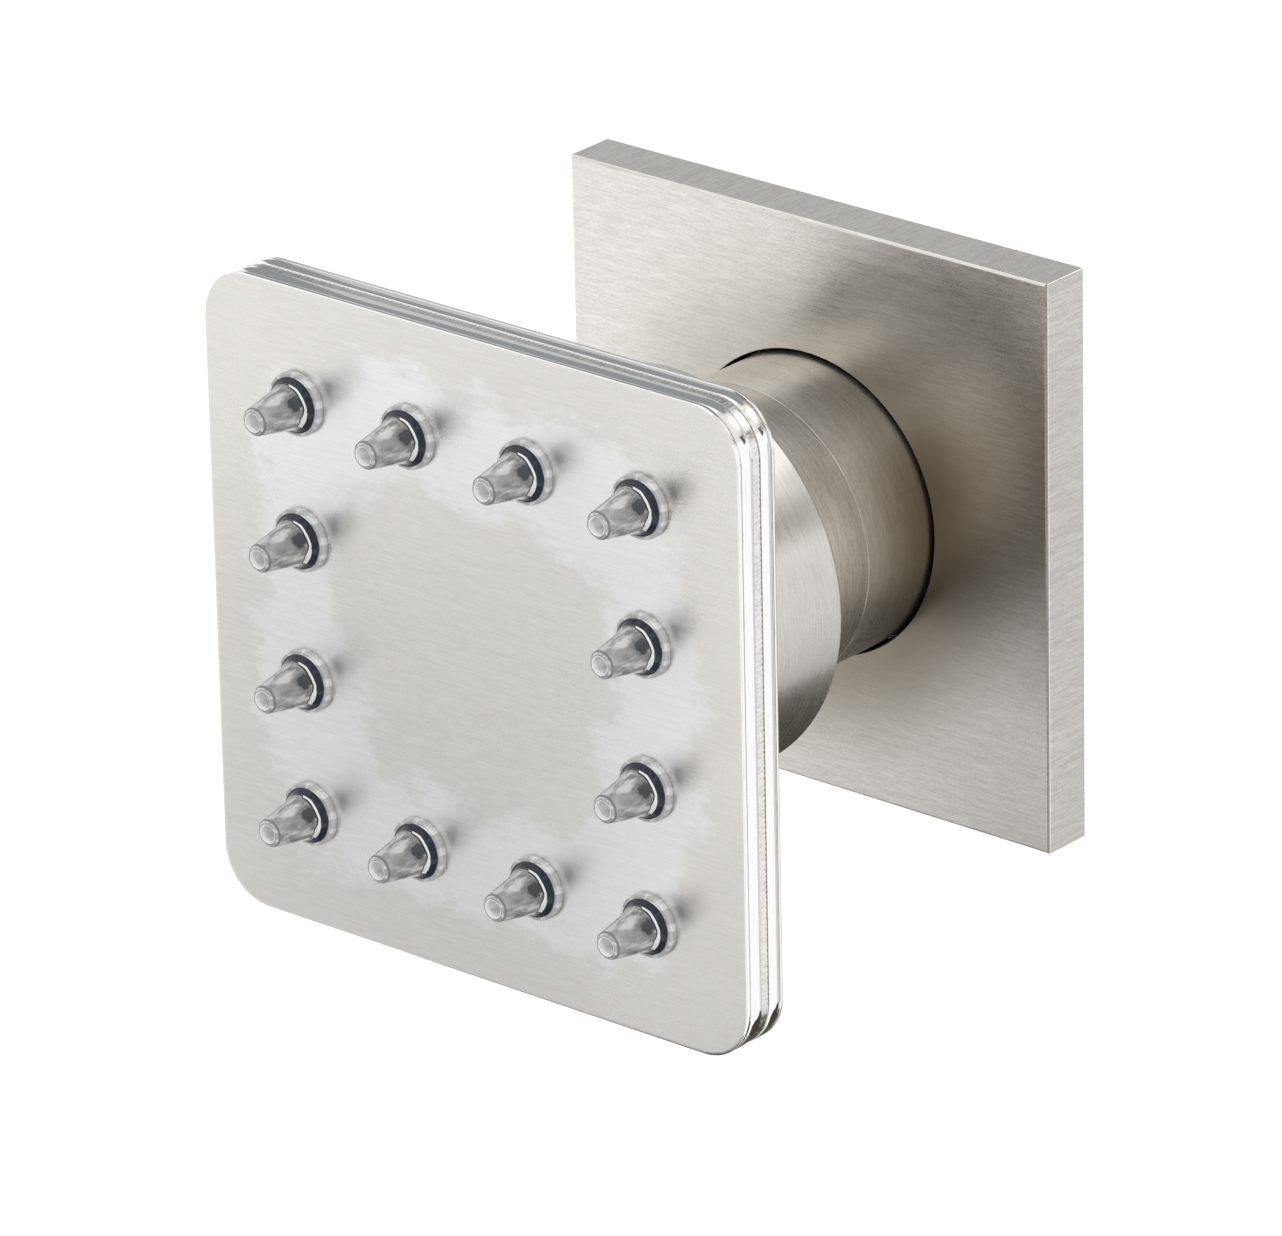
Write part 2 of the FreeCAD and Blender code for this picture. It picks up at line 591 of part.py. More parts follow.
def nozzle_outline():
    """List the (radius, reach) pairs of one nozzle's half section, standing on the face."""
    foot_rear = CHAMBER_FRONT_REACH - NOZZLE_FOOT_THICKNESS
    tip = FACE_REACH + NOZZLE_HEIGHT
    bead_top = FACE_REACH + NOZZLE_BEAD_HEIGHT
    flare_top = FACE_REACH + NOZZLE_FLARE_HEIGHT
    flare_middle = (NOZZLE_BODY_RADIUS + NOZZLE_FLARE_RADIUS) / 2 - NOZZLE_FLARE_HOLLOW
    return [
        (NOZZLE_OUTLET_RADIUS, tip),
        (NOZZLE_OUTLET_RADIUS, FACE_REACH + NOZZLE_THROAT_HEIGHT),
        (NOZZLE_INTAKE_RADIUS, CHAMBER_FRONT_REACH),
        (NOZZLE_INTAKE_RADIUS, foot_rear),
        (NOZZLE_FOOT_RADIUS, foot_rear),
        (NOZZLE_FOOT_RADIUS, CHAMBER_FRONT_REACH),
        (NOZZLE_WAIST_RADIUS, CHAMBER_FRONT_REACH),
        (NOZZLE_WAIST_RADIUS, FACE_REACH),
        (NOZZLE_BEAD_RADIUS - NOZZLE_BEAD_UNDERCUT, FACE_REACH),
        (NOZZLE_BEAD_RADIUS, FACE_REACH + NOZZLE_BEAD_HEIGHT / 2),
        (NOZZLE_FLARE_RADIUS, bead_top),
        (flare_middle, (bead_top + flare_top) / 2),
        (NOZZLE_BODY_RADIUS, flare_top),
        (NOZZLE_TIP_RADIUS, tip - NOZZLE_TIP_BREAK),
        (NOZZLE_TIP_RADIUS - NOZZLE_TIP_BREAK, tip),
    ]


def nozzle(x, z):
    """Make one soft push-in nozzle at its place in the face."""
    piece = turned(nozzle_outline())
    piece.translate(Vector(x, 0, z))
    return piece


def all_pieces():
    """Collect every piece of the jet under its name."""
    pieces = {
        "wall_flange": wall_flange(),
        "flange_ring": flange_ring(),
        "neck_body": neck_body(),
        "neck_collar": neck_collar(),
        "inlet_washer": inlet_washer(),
        "inlet_screen": inlet_screen(),
        "flow_restrictor": flow_restrictor(),
        "restrictor_ring": restrictor_ring(),
        "ball_stem": ball_stem(),
        "stem_ring": stem_ring(),
        "rear_seat_ring": seat_ring(REAR_SEAT_START_ANGLE, REAR_SEAT_END_ANGLE),
        "front_seat_ring": seat_ring(FRONT_SEAT_START_ANGLE, FRONT_SEAT_END_ANGLE),
        "ball_seal": ball_seal(),
        "socket_body": socket_body(),
        "retaining_nut": retaining_nut(),
        "swivel_cup": swivel_cup(),
        "hub_washer": hub_washer(),
        "hub_nut": hub_nut(),
        "back_plate": back_plate(),
        "seam_gasket": seam_gasket(),
        "front_plate": front_plate(),
        "closing_screws": closing_screws(),
    }
    for number, (x, z) in enumerate(nozzle_places(), start=1):
        pieces[f"nozzle_{number:02d}"] = nozzle(x, z)
    return pieces


def main():
    """Write each piece to its own file in the parts folder."""
    os.makedirs("parts", exist_ok=True)
    for name, shape in all_pieces().items():
        shape.exportStep(f"parts/{name}.step")
        box = shape.BoundBox
        print(f"{name}: {len(shape.Solids)} solid, {shape.Volume:.1f} mm3, depth {box.YLength:.2f}")


main()
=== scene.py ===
"""Looks of a square shower body jet in brushed nickel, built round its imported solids.

Lengths are millimetres until a mesh is finished, when they become metres. +Z is up, +X is to the
right of someone who faces the wall, and +Y goes into the wall. A "reach" is a distance out from
the wall, so it lies at minus that y, and a "radius" is measured from the jet's own axis.
"""

import logging
import math
from dataclasses import dataclass
from enum import Enum

import bmesh
import bpy
from mathutils import Matrix, Vector

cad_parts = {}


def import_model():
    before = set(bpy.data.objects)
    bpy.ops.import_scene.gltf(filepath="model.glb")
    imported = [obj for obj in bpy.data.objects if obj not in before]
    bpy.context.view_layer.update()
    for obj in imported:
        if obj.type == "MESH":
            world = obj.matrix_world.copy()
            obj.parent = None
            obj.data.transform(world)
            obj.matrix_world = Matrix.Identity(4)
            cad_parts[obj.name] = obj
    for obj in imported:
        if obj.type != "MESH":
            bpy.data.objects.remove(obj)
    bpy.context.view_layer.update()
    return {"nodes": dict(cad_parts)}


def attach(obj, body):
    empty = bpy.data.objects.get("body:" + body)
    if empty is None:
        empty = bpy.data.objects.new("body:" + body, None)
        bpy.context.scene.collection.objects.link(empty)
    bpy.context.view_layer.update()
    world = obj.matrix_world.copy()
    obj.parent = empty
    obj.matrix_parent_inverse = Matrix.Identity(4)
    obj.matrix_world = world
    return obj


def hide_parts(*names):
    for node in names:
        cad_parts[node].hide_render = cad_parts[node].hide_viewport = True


LOG = logging.getLogger("body_jet")
OWN_PLACE = "own_place"

MM = 0.001
MERGE_DISTANCE = 0.0005
WELD_DISTANCE = 0.001
SHARP_ANGLE = math.radians(38)
BROAD_FACE_WEIGHT = 100
EDGE_STEPS = 3
SPARE = 1.0

PATTERN_LOW, PATTERN_HIGH = 0.3, 0.7
FACING = 0.7

BACK_REACH = 46.0
SPIGOT_BORE = 8.05

Mesh = bmesh.types.BMesh
Vertex = bmesh.types.BMVert
Edge = bmesh.types.BMEdge
Piece = bpy.types.Object
Finish = bpy.types.Material
Socket = bpy.types.NodeSocket
Place = tuple[float, float]
Colour = tuple[float, float, float]
Value = Socket | Colour | float
Feeds = dict[str | int, Value]


class Body(Enum):
    """The rigid bodies that pieces ride on."""

    WALL = "wall_mount"
    HEAD = "spray_head"


class BrushRun(Enum):
    """The way that the brush ran over a piece."""

    ACROSS = "straight lines from side to side"
    ROUND = "rings about the jet's axis"


class Work(Enum):
    """What a second mesh does to a piece."""

    CUT = "DIFFERENCE"
    JOIN = "UNION"


@dataclass(frozen=True)
class Corner:
    """One corner of a half section.

    Attributes:
        radius: Distance from the axis.
        reach: Distance out from the wall.
        rounding: Length that a round takes off each side of the corner, or 0 for a sharp one.
    """

    radius: float
    reach: float
    rounding: float = 0.0


def rounded(mesh: Mesh, corners: list[Vertex], size: float, steps: int) -> None:
    """Round corners of a flat outline.

    Args:
        mesh: The mesh that holds them.
        corners: The corners.
        size: Length that the round takes off each side.
        steps: Straight lengths in each round.
    """
    bmesh.ops.bevel(
        mesh,
        geom=corners,
        offset=size,
        affect="VERTICES",
        segments=steps,
        profile=0.5,
        material=-1,
    )


@dataclass(frozen=True)
class RoundedSquare:
    """A square outline about the jet's axis, with rounded corners.

    Attributes:
        side: Width across the flats.
        corner: Radius of each corner.
        corner_steps: Straight lengths that make up one corner.
    """

    side: float
    corner: float
    corner_steps: int = 20

    def draw(self, mesh: Mesh, reach: float) -> list[Edge]:
        """Start a mesh with the outline's ring.

        Args:
            mesh: The empty mesh to draw in.
            reach: Distance of the ring out from the wall.

        Returns:
            The ring's edges.
        """
        bmesh.ops.create_grid(mesh, x_segments=1, y_segments=1, size=self.side / 2)
        bmesh.ops.rotate(mesh, verts=mesh.verts, matrix=Matrix.Rotation(math.pi / 2, 3, "X"))
        rounded(mesh, mesh.verts[:], self.corner, self.corner_steps)
        bmesh.ops.delete(mesh, geom=mesh.faces[:], context="FACES_ONLY")
        self.settle(mesh.verts[:], reach, 0.0)
        return mesh.edges[:]

    def settle(self, ring: list[Vertex], reach: float, inset: float) -> None:
        """Put a ring of vertices on the outline, drawn in by the same amount all round.

        Args:
            ring: The vertices, near their places already.
            reach: Distance of the ring out from the wall.
            inset: Amount that the ring lies inside the outline.
        """
        straight = self.side / 2 - self.corner
        for vertex in ring:
            centre_x = max(-straight, min(straight, vertex.co.x))
            centre_z = max(-straight, min(straight, vertex.co.z))
            way = Vector((vertex.co.x - centre_x, 0, vertex.co.z - centre_z)).normalized()
            vertex.co = Vector((centre_x, -reach, centre_z)) + way * (self.corner - inset)

    def stack(self, mesh: Mesh, ring: list[Edge], stations: list[Place]) -> list[Edge]:
        """Draw a ring out through stations along the spray direction.

        Args:
            mesh: The mesh that holds the ring.
            ring: The edges to start from.
            stations: The reach and inset of each further ring.

        Returns:
            The last ring's edges.
        """
        for reach, inset in stations:
            grown = bmesh.ops.extrude_edge_only(mesh, edges=ring)["geom"]
            self.settle([part for part in grown if isinstance(part, Vertex)], reach, inset)
            ring = [part for part in grown if isinstance(part, Edge)]
        return ring


def spun(corners: list[Corner], steps: int, round_steps: int = 4) -> Mesh:
    """Turn a closed half section about the jet's axis, with its corners rounded.

    Args:
        corners: The half section's corners in order.
        steps: Straight lengths in a full turn.
        round_steps: Straight lengths in each rounded corner.

    Returns:
        The turned mesh.
    """
    mesh = bmesh.new()
    vertices = [mesh.verts.new((corner.radius, -corner.reach, 0)) for corner in corners]
    mesh.faces.new(vertices)
    for rounding in sorted({corner.rounding for corner in corners if corner.rounding > 0}):
        chosen = [v for v, corner in zip(vertices, corners) if corner.rounding == rounding]
        rounded(mesh, chosen, rounding, round_steps)
    bmesh.ops.delete(mesh, geom=mesh.faces[:], context="FACES_ONLY")
    bmesh.ops.spin(
        mesh,
        geom=mesh.verts[:] + mesh.edges[:],
        cent=(0, 0, 0),
        axis=(0, 1, 0),
        dvec=(0, 0, 0),
        angle=2 * math.pi,
        steps=steps,
        use_merge=True,
        use_duplicate=False,
    )
    return mesh


def rods(radius: float, rear: float, front: float, places: list[Place], steps: int) -> Mesh:
    """Make like cylinders along the spray direction.

    Args:
        radius: Radius of each cylinder.
        rear: Reach of its rear end.
        front: Reach of its front end.
        places: The x and z of each cylinder's axis.
        steps: Flats round each cylinder.

    Returns:
        One mesh that holds them all.
    """
    mesh = bmesh.new()
    for x, z in places:
        middle = Vector((x, -(rear + front) / 2, z))
        bmesh.ops.create_cone(
            mesh,
            cap_ends=True,
            segments=steps,
            radius1=radius,
            radius2=radius,
            depth=front - rear,
            matrix=Matrix.Translation(middle) @ Matrix.Rotation(math.pi / 2, 4, "X"),
        )
    return mesh


def linked(mesh: Mesh, name: str) -> Piece:
    """Make an object of a mesh and link it to the scene.

    Args:
        mesh: The mesh in metres, which is used up.
        name: The object's name.

    Returns:
        The object.
    """
    data = bpy.data.meshes.new(name)
    mesh.to_mesh(data)
    mesh.free()
    piece = bpy.data.objects.new(name, data)
    bpy.context.scene.collection.objects.link(piece)
    return piece


def finished(mesh: Mesh, name: str) -> Piece:
    """Weld, turn outwards and shrink a mesh to metres, and make it an object.

    Args:
        mesh: The mesh in millimetres, which is used up.
        name: The object's name.

    Returns:
        The object, linked to the scene.
    """
    bmesh.ops.remove_doubles(mesh, verts=mesh.verts[:], dist=MERGE_DISTANCE)
    bmesh.ops.recalc_face_normals(mesh, faces=mesh.faces[:])
    bmesh.ops.scale(mesh, vec=(MM, MM, MM), verts=mesh.verts[:])
    return linked(mesh, name)


def worked(piece: Piece, tool: Mesh, work: Work) -> None:
    """Cut or join a piece with a second mesh, and keep the result in its mesh.

    Args:
        piece: The object to change.
        tool: The second mesh in millimetres, which is used up.
        work: Whether the second mesh is cut away or joined on.
    """
    tool_piece = finished(tool, "tool")
    modifier = piece.modifiers.new("work", "BOOLEAN")
    modifier.operation = work.value
    modifier.solver = "EXACT"
    modifier.object = tool_piece
    shown = piece.evaluated_get(bpy.context.evaluated_depsgraph_get())
    spent = (piece.data, tool_piece.data)
    piece.data = bpy.data.meshes.new_from_object(shown)
    piece.modifiers.remove(modifier)
    bpy.data.objects.remove(tool_piece)
    for data in spent:
        bpy.data.meshes.remove(data)
    piece.data.name = piece.name


def dressed(piece: Piece, finishes: list[Finish], body: Body, node: str) -> None:
    """Shade a new piece, give it its finishes and place it on its body.

    It is smooth up to its sharp edges, and its broad faces stay flat.

    Args:
        piece: The object to dress.
        finishes: Its materials, in the order of its faces' indexes.
        body: The body that it rides on.
        node: The solid that it stands for.
    """
    piece.data.shade_smooth()
    piece.data.set_sharp_from_angle(angle=SHARP_ANGLE)
    weighted = piece.modifiers.new("broad faces first", "WEIGHTED_NORMAL")
    weighted.keep_sharp = True
    weighted.weight = BROAD_FACE_WEIGHT
    for finish in finishes:
        piece.data.materials.append(finish)
    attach(piece, body.value)
    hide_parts(node)
    LOG.info("%s: %d faces for %s", piece.name, len(piece.data.polygons), node)


def kept(node: Piece, finish: Finish, edge: float = 0.0) -> None:
    """Give a solid that stays its finish and, where wanted, rounded edges.

    Args:
        node: The solid's object.
        finish: Its material.
        edge: Size of its rounded edges, or 0 to leave them.
    """
    weld = node.modifiers.new("weld", "WELD")
    weld.merge_threshold = WELD_DISTANCE * MM
    if edge > 0:
        bevel = node.modifiers.new("broken edges", "BEVEL")
        bevel.width = edge * MM
        bevel.segments = EDGE_STEPS
        bevel.limit_method = "ANGLE"
        bevel.angle_limit = SHARP_ANGLE
    for slot in node.material_slots:
        slot.material = finish
    LOG.info("%s: kept", node.name)


class Wiring:
    """Shader nodes of one tree, added one by one."""

    def __init__(self, tree: bpy.types.NodeTree) -> None:
        """Take the tree to work in."""
        self.nodes = tree.nodes
        self.links = tree.links

    def found(self, kind: str) -> bpy.types.Node:
        """Give the tree's first node of a type."""
        return next(node for node in self.nodes if node.type == kind)

    def feed(self, value: Value, socket: Socket) -> None:
        """Join an output to an input, or set the input where the value is plain.

        Args:
            value: An output socket, a number or a few numbers.
            socket: The input to feed.
        """
        if isinstance(value, Socket):
            self.links.new(value, socket)
        elif socket.type == "RGBA":
            socket.default_value = (*value, 1.0)
        else:
            socket.default_value = value

    def add(self, kind: str, feeds: Feeds | None = None, **settings: object) -> bpy.types.Node:
        """Add a node with its settings and inputs.

        Args:
            kind: Blender's name of the node's type.
            feeds: What each input takes, by the input's name or number.
            settings: The values of its properties.

        Returns:
            The node.
        """
        node = self.nodes.new(kind)
        for name, value in settings.items():
            setattr(node, name, value)
        for name, value in (feeds or {}).items():
            self.feed(value, node.inputs[name])
        return node

    def maths(self, operation: str, *values: Value, clamp: bool = False) -> Socket:
        """Work out a number from other numbers.

        Args:
            operation: The operation's name.
            values: The numbers or outputs that it takes.
            clamp: Whether the result is held between 0 and 1.

        Returns:
            The result's output.
        """
        node = self.add("ShaderNodeMath", dict(enumerate(values)), operation=operation, use_clamp=clamp)
        return node.outputs["Value"]


class Recipe(Wiring):
    """A material, with the steps that work out its colours and patterns."""

    def __init__(self, name: str) -> None:
        """Start a material that holds only its shader and output.

        Args:
            name: The material's name.
        """
        self.material = bpy.data.materials.new(name)
        self.material.use_nodes = True
        super().__init__(self.material.node_tree)
        self.shader = self.found("BSDF_PRINCIPLED")
        self.place = self.add("ShaderNodeTexCoord")

    def plus(self, first: Value, second: Value) -> Socket:
        """Add two numbers."""
        return self.maths("ADD", first, second)

    def minus(self, first: Value, second: Value) -> Socket:
        """Take the second number from the first."""
        return self.maths("SUBTRACT", first, second)

    def times(self, first: Value, second: Value) -> Socket:
        """Multiply two numbers."""
        return self.maths("MULTIPLY", first, second)

    def larger(self, first: Value, second: Value) -> Socket:
        """Give the larger of two numbers."""
        return self.maths("MAXIMUM", first, second)

    def size_of(self, value: Value) -> Socket:
        """Give a number without its sign."""
        return self.maths("ABSOLUTE", value)

    def weighted(self, *parts: tuple[Socket, float]) -> Socket:
        """Add up patterns by their weights.

        Args:
            parts: Each pattern with its weight.

        Returns:
            The sum's output.
        """
        total, *others = [self.times(value, weight) for value, weight in parts]
        for other in others:
            total = self.plus(total, other)
        return total

    def ranged(self, value: Value, start: float, end: float, low: float = 0.0, high: float = 1.0) -> Socket:
        """Bring a number smoothly from one range to another, and hold it there.

        Args:
            value: The number's output.
            start: The value that gives the low result.
            end: The value that gives the high result.
            low: The low result.
            high: The high result.

        Returns:
            The result's output.
        """
        feeds = {"Value": value, "From Min": start, "From Max": end, "To Min": low, "To Max": high}
        return self.add("ShaderNodeMapRange", feeds, interpolation_type="SMOOTHSTEP").outputs["Result"]

    def spread(self, pattern: Socket, low: float, high: float) -> Socket:
        """Bring a pattern's usual range to another range."""
        return self.ranged(pattern, PATTERN_LOW, PATTERN_HIGH, low, high)

    def faces(self, way: Socket) -> Socket:
        """Give 1 where the surface faces along an axis, from its normal's part on that axis."""
        return self.maths("GREATER_THAN", self.size_of(way), FACING)

    def between(self, value: Value, start: float, end: float, fade: float) -> Socket:
        """Give 1 inside a range and 0 outside it, with soft ends.

        Args:
            value: The number's output.
            start: The range's low end.
            end: Its high end.
            fade: Width of each soft end.

        Returns:
            The share's output.
        """
        risen = self.ranged(value, start - fade / 2, start + fade / 2)
        fallen = self.ranged(value, end + fade / 2, end - fade / 2)
        return self.times(risen, fallen)

    def length(self, first: Value, second: Value) -> Socket:
        """Give the distance from the origin to a point of a plane.

        Args:
            first: The point's first place.
            second: Its second place.

        Returns:
            The distance's output.
        """
        squares = [self.times(value, value) for value in (first, second)]
        return self.maths("SQRT", self.plus(*squares))

    def parts(self, vector: Socket) -> tuple[Socket, ...]:
        """Split a vector into its x, y and z."""
        return tuple(self.add("ShaderNodeSeparateXYZ", {0: vector}).outputs)

    def vector(self, x: Value, y: Value, z: Value) -> Socket:
        """Join three numbers to one vector."""
        return self.add("ShaderNodeCombineXYZ", {0: x, 1: y, 2: z}).outputs[0]

    def stretched(self, *scale: float) -> Socket:
        """Give the piece's own place, stretched.

        Args:
            scale: Features per millimetre along x, y and z, or one number for all three.

        Returns:
            The vector's output.
        """
        sizes = [size / MM for size in (scale if len(scale) > 1 else scale * 3)]
        feeds = {"Vector": self.place.outputs["Object"], "Scale": sizes}
        return self.add("ShaderNodeMapping", feeds).outputs[0]

    def millimetres(self) -> tuple[Socket, ...]:
        """Give the piece's own place as x, y and z in millimetres."""
        return self.parts(self.stretched(1.0))

    def noise(self, at: Socket, scale: float = 1.0, detail: float = 3.0, roughness: float = 0.5) -> Socket:
        """Make a cloudy pattern from 0 to 1.

        Args:
            at: The place that it is read at.
            scale: Features per unit of that place.
            detail: Number of finer patterns laid over the first.
            roughness: How strong the finer ones are.

        Returns:
            The pattern's output.
        """
        feeds = {"Vector": at, "Scale": scale, "Detail": detail, "Roughness": roughness}
        return self.add("ShaderNodeTexNoise", feeds).outputs["Fac"]

    def mixed(self, kind: str, share: Value, first: Value, second: Value) -> Socket:
        """Mix two values.

        Args:
            kind: Blender's name of what they are.
            share: The second one's share, from 0 to 1.
            first: The first one or its output.
            second: The second one or its output.

        Returns:
            The mixed value's output.
        """
        node = self.add("ShaderNodeMix", data_type=kind, clamp_factor=True)
        ports = [socket for socket in node.inputs if socket.enabled]
        for value, socket in zip((share, first, second), ports):
            self.feed(value, socket)
        return next(socket for socket in node.outputs if socket.enabled)

    def blended(self, share: Value, first: Value, second: Value) -> Socket:
        """Mix two colours by the second one's share."""
        return self.mixed("RGBA", share, first, second)

    def bumped(self, height: Socket, strength: float, depth: float) -> None:
        """Roughen the surface by a height pattern.

        Args:
            height: The pattern's output.
            strength: Share of the effect, from 0 to 1.
            depth: Height in millimetres from the pattern's low to its high.
        """
        feeds = {"Strength": strength, "Distance": depth * MM, "Height": height}
        bump = self.add("ShaderNodeBump", feeds)
        self.feed(bump.outputs["Normal"], self.shader.inputs["Normal"])

    def set(self, **values: Value) -> Finish:
        """Set or feed the shader's own sockets.

        Args:
            values: A number or output for each socket, named in small letters with underscores
                for its spaces.

        Returns:
            The finished material.
        """
        sockets = {socket.name.lower().replace(" ", "_"): socket for socket in self.shader.inputs}
        for name, value in values.items():
            self.feed(value, sockets[name])
        return self.material


@dataclass(frozen=True)
class BrushedNickel:
    """Satin nickel with fine brush lines, and painted shade in the corner between the flange and the neck.

    Attributes:
        name: The material's name.
        run: The way that the brush ran.
        light: Colour of the brighter lines.
        dark: Colour of the darker lines.
        roughness: Mean roughness.
        uneven: How far the roughness strays from its mean.
        smear: How much more a reflection spreads across the lines than along them.
        line_width: Width of a brush line.
        line_length: Length of a brush line.
        turning_radius: Radius at which lines that run round have that length.
        lean: How far lines on a turned face also follow the radius.
        bump: Strength of the relief.
        depth: Depth of the lines.
        corner_shade: Colour of the painted shade in the corner between the flange and the neck.
        corner_shade_share: Strength of that painted shade right in the corner.
        corner_radius: Radius of that corner.
        corner_reach: Reach of that corner.
        corner_shade_width: Distance from the corner at which the painted shade is gone.
        corner_shade_core: Distance from the corner within which it is at its strongest.
        upper_left_shade: Share of the painted shade that is left above the neck and to its left.
        shade_ramp: Distances to the lower right at which that share ends and the full one starts.
        slope: How much the height counts in those distances.
    """

    name: str
    run: BrushRun
    light: Colour = (0.88, 0.865, 0.835)
    dark: Colour = (0.70, 0.68, 0.64)
    roughness: float = 0.3
    uneven: float = 0.05
    smear: float = 0.5
    line_width: float = 0.13
    line_length: float = 2.6
    turning_radius: float = 16.0
    lean: float = 0.8
    bump: float = 0.4
    depth: float = 0.006
    # Painted shade in the corner between the flange and the neck.
    corner_shade: Colour = (0.38, 0.335, 0.255)
    corner_shade_share: float = 0.5
    corner_radius: float = 14.0
    corner_reach: float = 5.2
    corner_shade_width: float = 9.0
    corner_shade_core: float = 1.0
    upper_left_shade: float = 0.1
    shade_ramp: tuple[float, float] = (-2.0, 10.0)
    slope: float = 0.6

    def brush_place(self, recipe: Recipe) -> Socket:
        """Give the place at which the lines are read, stretched along the brush's run.

        Args:
            recipe: The material's nodes.

        Returns:
            The vector's output.
        """
        fine, slow = 1 / self.line_width, 1 / self.line_length
        if self.run is BrushRun.ROUND:
            x, y, z = recipe.millimetres()
            radius = recipe.length(x, z)
            outward = recipe.plus(y, recipe.times(radius, self.lean))
            round_scale = self.turning_radius * slow
            ways = [recipe.times(recipe.maths("DIVIDE", way, radius), round_scale) for way in (x, z)]
            return recipe.vector(ways[0], recipe.times(outward, fine), ways[1])
        flat = recipe.stretched(slow, fine, fine)
        edge = recipe.stretched(fine, slow, fine)
        facing = recipe.parts(recipe.place.outputs["Normal"])[1]
        share = recipe.ranged(recipe.size_of(facing), 0.4, 0.6)
        return recipe.mixed("VECTOR", share, edge, flat)

    def across(self, recipe: Recipe) -> Socket:
        """Give the direction across the lines, along which reflections smear.

        Args:
            recipe: The material's nodes.

        Returns:
            The direction's output.
        """
        _, facing, upright = recipe.parts(recipe.place.outputs["Normal"])
        if self.run is BrushRun.ROUND:
            x, _, z = recipe.parts(recipe.place.outputs["Object"])
            end = recipe.faces(facing)
            local = recipe.vector(recipe.times(x, end), recipe.minus(1.0, end), recipe.times(z, end))
        else:
            top = recipe.faces(upright)
            local = recipe.vector(top, 0.0, recipe.minus(1.0, top))
        turned = recipe.add(
            "ShaderNodeVectorTransform",
            {0: local},
            vector_type="VECTOR",
            convert_from="OBJECT",
            convert_to="WORLD",
        )
        return turned.outputs[0]

    def coloured(self, recipe: Recipe, lines: Socket) -> Socket:
        """Give the metal's colour over its lines, darkened by painted shade near the flange and the neck.

        Args:
            recipe: The material's nodes.
            lines: The pattern of the brush lines.

        Returns:
            The colour's output.
        """
        brushed = recipe.blended(recipe.ranged(lines, 0.36, 0.64), self.dark, self.light)
        # Painted shade: darker and warmer near the corner between the flange and the neck, fullest to the
        # lower right of the neck.
        x, y, z = recipe.millimetres()
        beside = recipe.minus(recipe.length(x, z), self.corner_radius)
        distance = recipe.length(beside, recipe.plus(y, self.corner_reach))
        near = recipe.ranged(distance, self.corner_shade_width, self.corner_shade_core, 0.0, self.corner_shade_share)
        lower_right = recipe.minus(x, recipe.times(z, self.slope))
        shade_side = recipe.ranged(lower_right, *self.shade_ramp, self.upper_left_shade, 1.0)
        return recipe.blended(recipe.times(near, shade_side), brushed, self.corner_shade)

    def material(self) -> Finish:
        """Make the finish's material.

        Returns:
            The material.
        """
        recipe = Recipe(self.name)
        place = self.brush_place(recipe)
        lines = recipe.noise(place, detail=4.0, roughness=0.6)
        bands = recipe.noise(place, scale=0.22, detail=2.0)
        grain = recipe.noise(recipe.stretched(3.5), detail=2.0, roughness=0.6)
        cloud = recipe.noise(recipe.stretched(0.06), roughness=0.55)
        relief = recipe.weighted((lines, 0.6), (grain, 0.22), (bands, 0.18))
        sheen = recipe.weighted((relief, 0.5), (cloud, 0.5))
        recipe.bumped(relief, self.bump, self.depth)
        return recipe.set(
            base_color=self.coloured(recipe, relief),
            metallic=1.0,
            roughness=recipe.spread(sheen, self.roughness - self.uneven, self.roughness + self.uneven),
            anisotropic=self.smear,
            tangent=self.across(recipe),
        )


@dataclass(frozen=True)
class StainedFace(BrushedNickel):
    """Brushed nickel of a spray face, with the marks that water leaves.

    Attributes:
        bloom: Colour of the cool clouds round the nozzles.
        warmth: Colour of the warm marks in the middle and along the edges.
        strength: Share of the marks' colours over the metal's.
        middle: Distance from the axis at which the middle mark ends.
        border: Distance from the axis at which the edge marks start.
        fade: Width over which one mark passes into the next.
        squareness: How square the marks' zones are, where 2 is round.
        ragged: How far the marks' edges wander.
        mean: Mean of the pattern that they wander by.
        speck: Colour of the few dark specks.
        speck_share: Strength of that colour.
    """

    bloom: Colour = (0.93, 0.95, 0.96)
    warmth: Colour = (0.80, 0.78, 0.745)
    strength: float = 0.62
    middle: float = 14.5
    border: float = 24.5
    fade: float = 3.0
    squareness: float = 4.0
    ragged: float = 14.0
    mean: float = 0.7
    speck: Colour = (0.42, 0.40, 0.37)
    speck_share: float = 0.6

    def coloured(self, recipe: Recipe, lines: Socket) -> Socket:
        """Give the stained metal's colour over its lines.

        Args:
            recipe: The material's nodes.
            lines: The pattern of the brush lines.

        Returns:
            The colour's output.
        """
        metal = BrushedNickel.coloured(self, recipe, lines)
        x, _, z = recipe.millimetres()
        raised = [recipe.maths("POWER", recipe.size_of(value), self.squareness) for value in (x, z)]
        wide = recipe.maths("POWER", recipe.plus(*raised), 1 / self.squareness)
        drift = recipe.noise(recipe.stretched(0.15), detail=6.0, roughness=0.68)
        streaks = recipe.noise(recipe.stretched(0.3, 0.3, 1.2), detail=4.0, roughness=0.65)
        uneven = recipe.plus(drift, recipe.times(streaks, 0.4))
        wavy = recipe.plus(wide, recipe.times(recipe.minus(uneven, self.mean), self.ragged))
        ring = recipe.between(wavy, self.middle, self.border, self.fade)
        marked = recipe.blended(self.strength, metal, recipe.blended(ring, self.warmth, self.bloom))
        dots = recipe.noise(recipe.stretched(1.3), detail=2.0, roughness=0.4)
        return recipe.blended(recipe.ranged(dots, 0.79, 0.83, 0.0, self.speck_share), marked, self.speck)


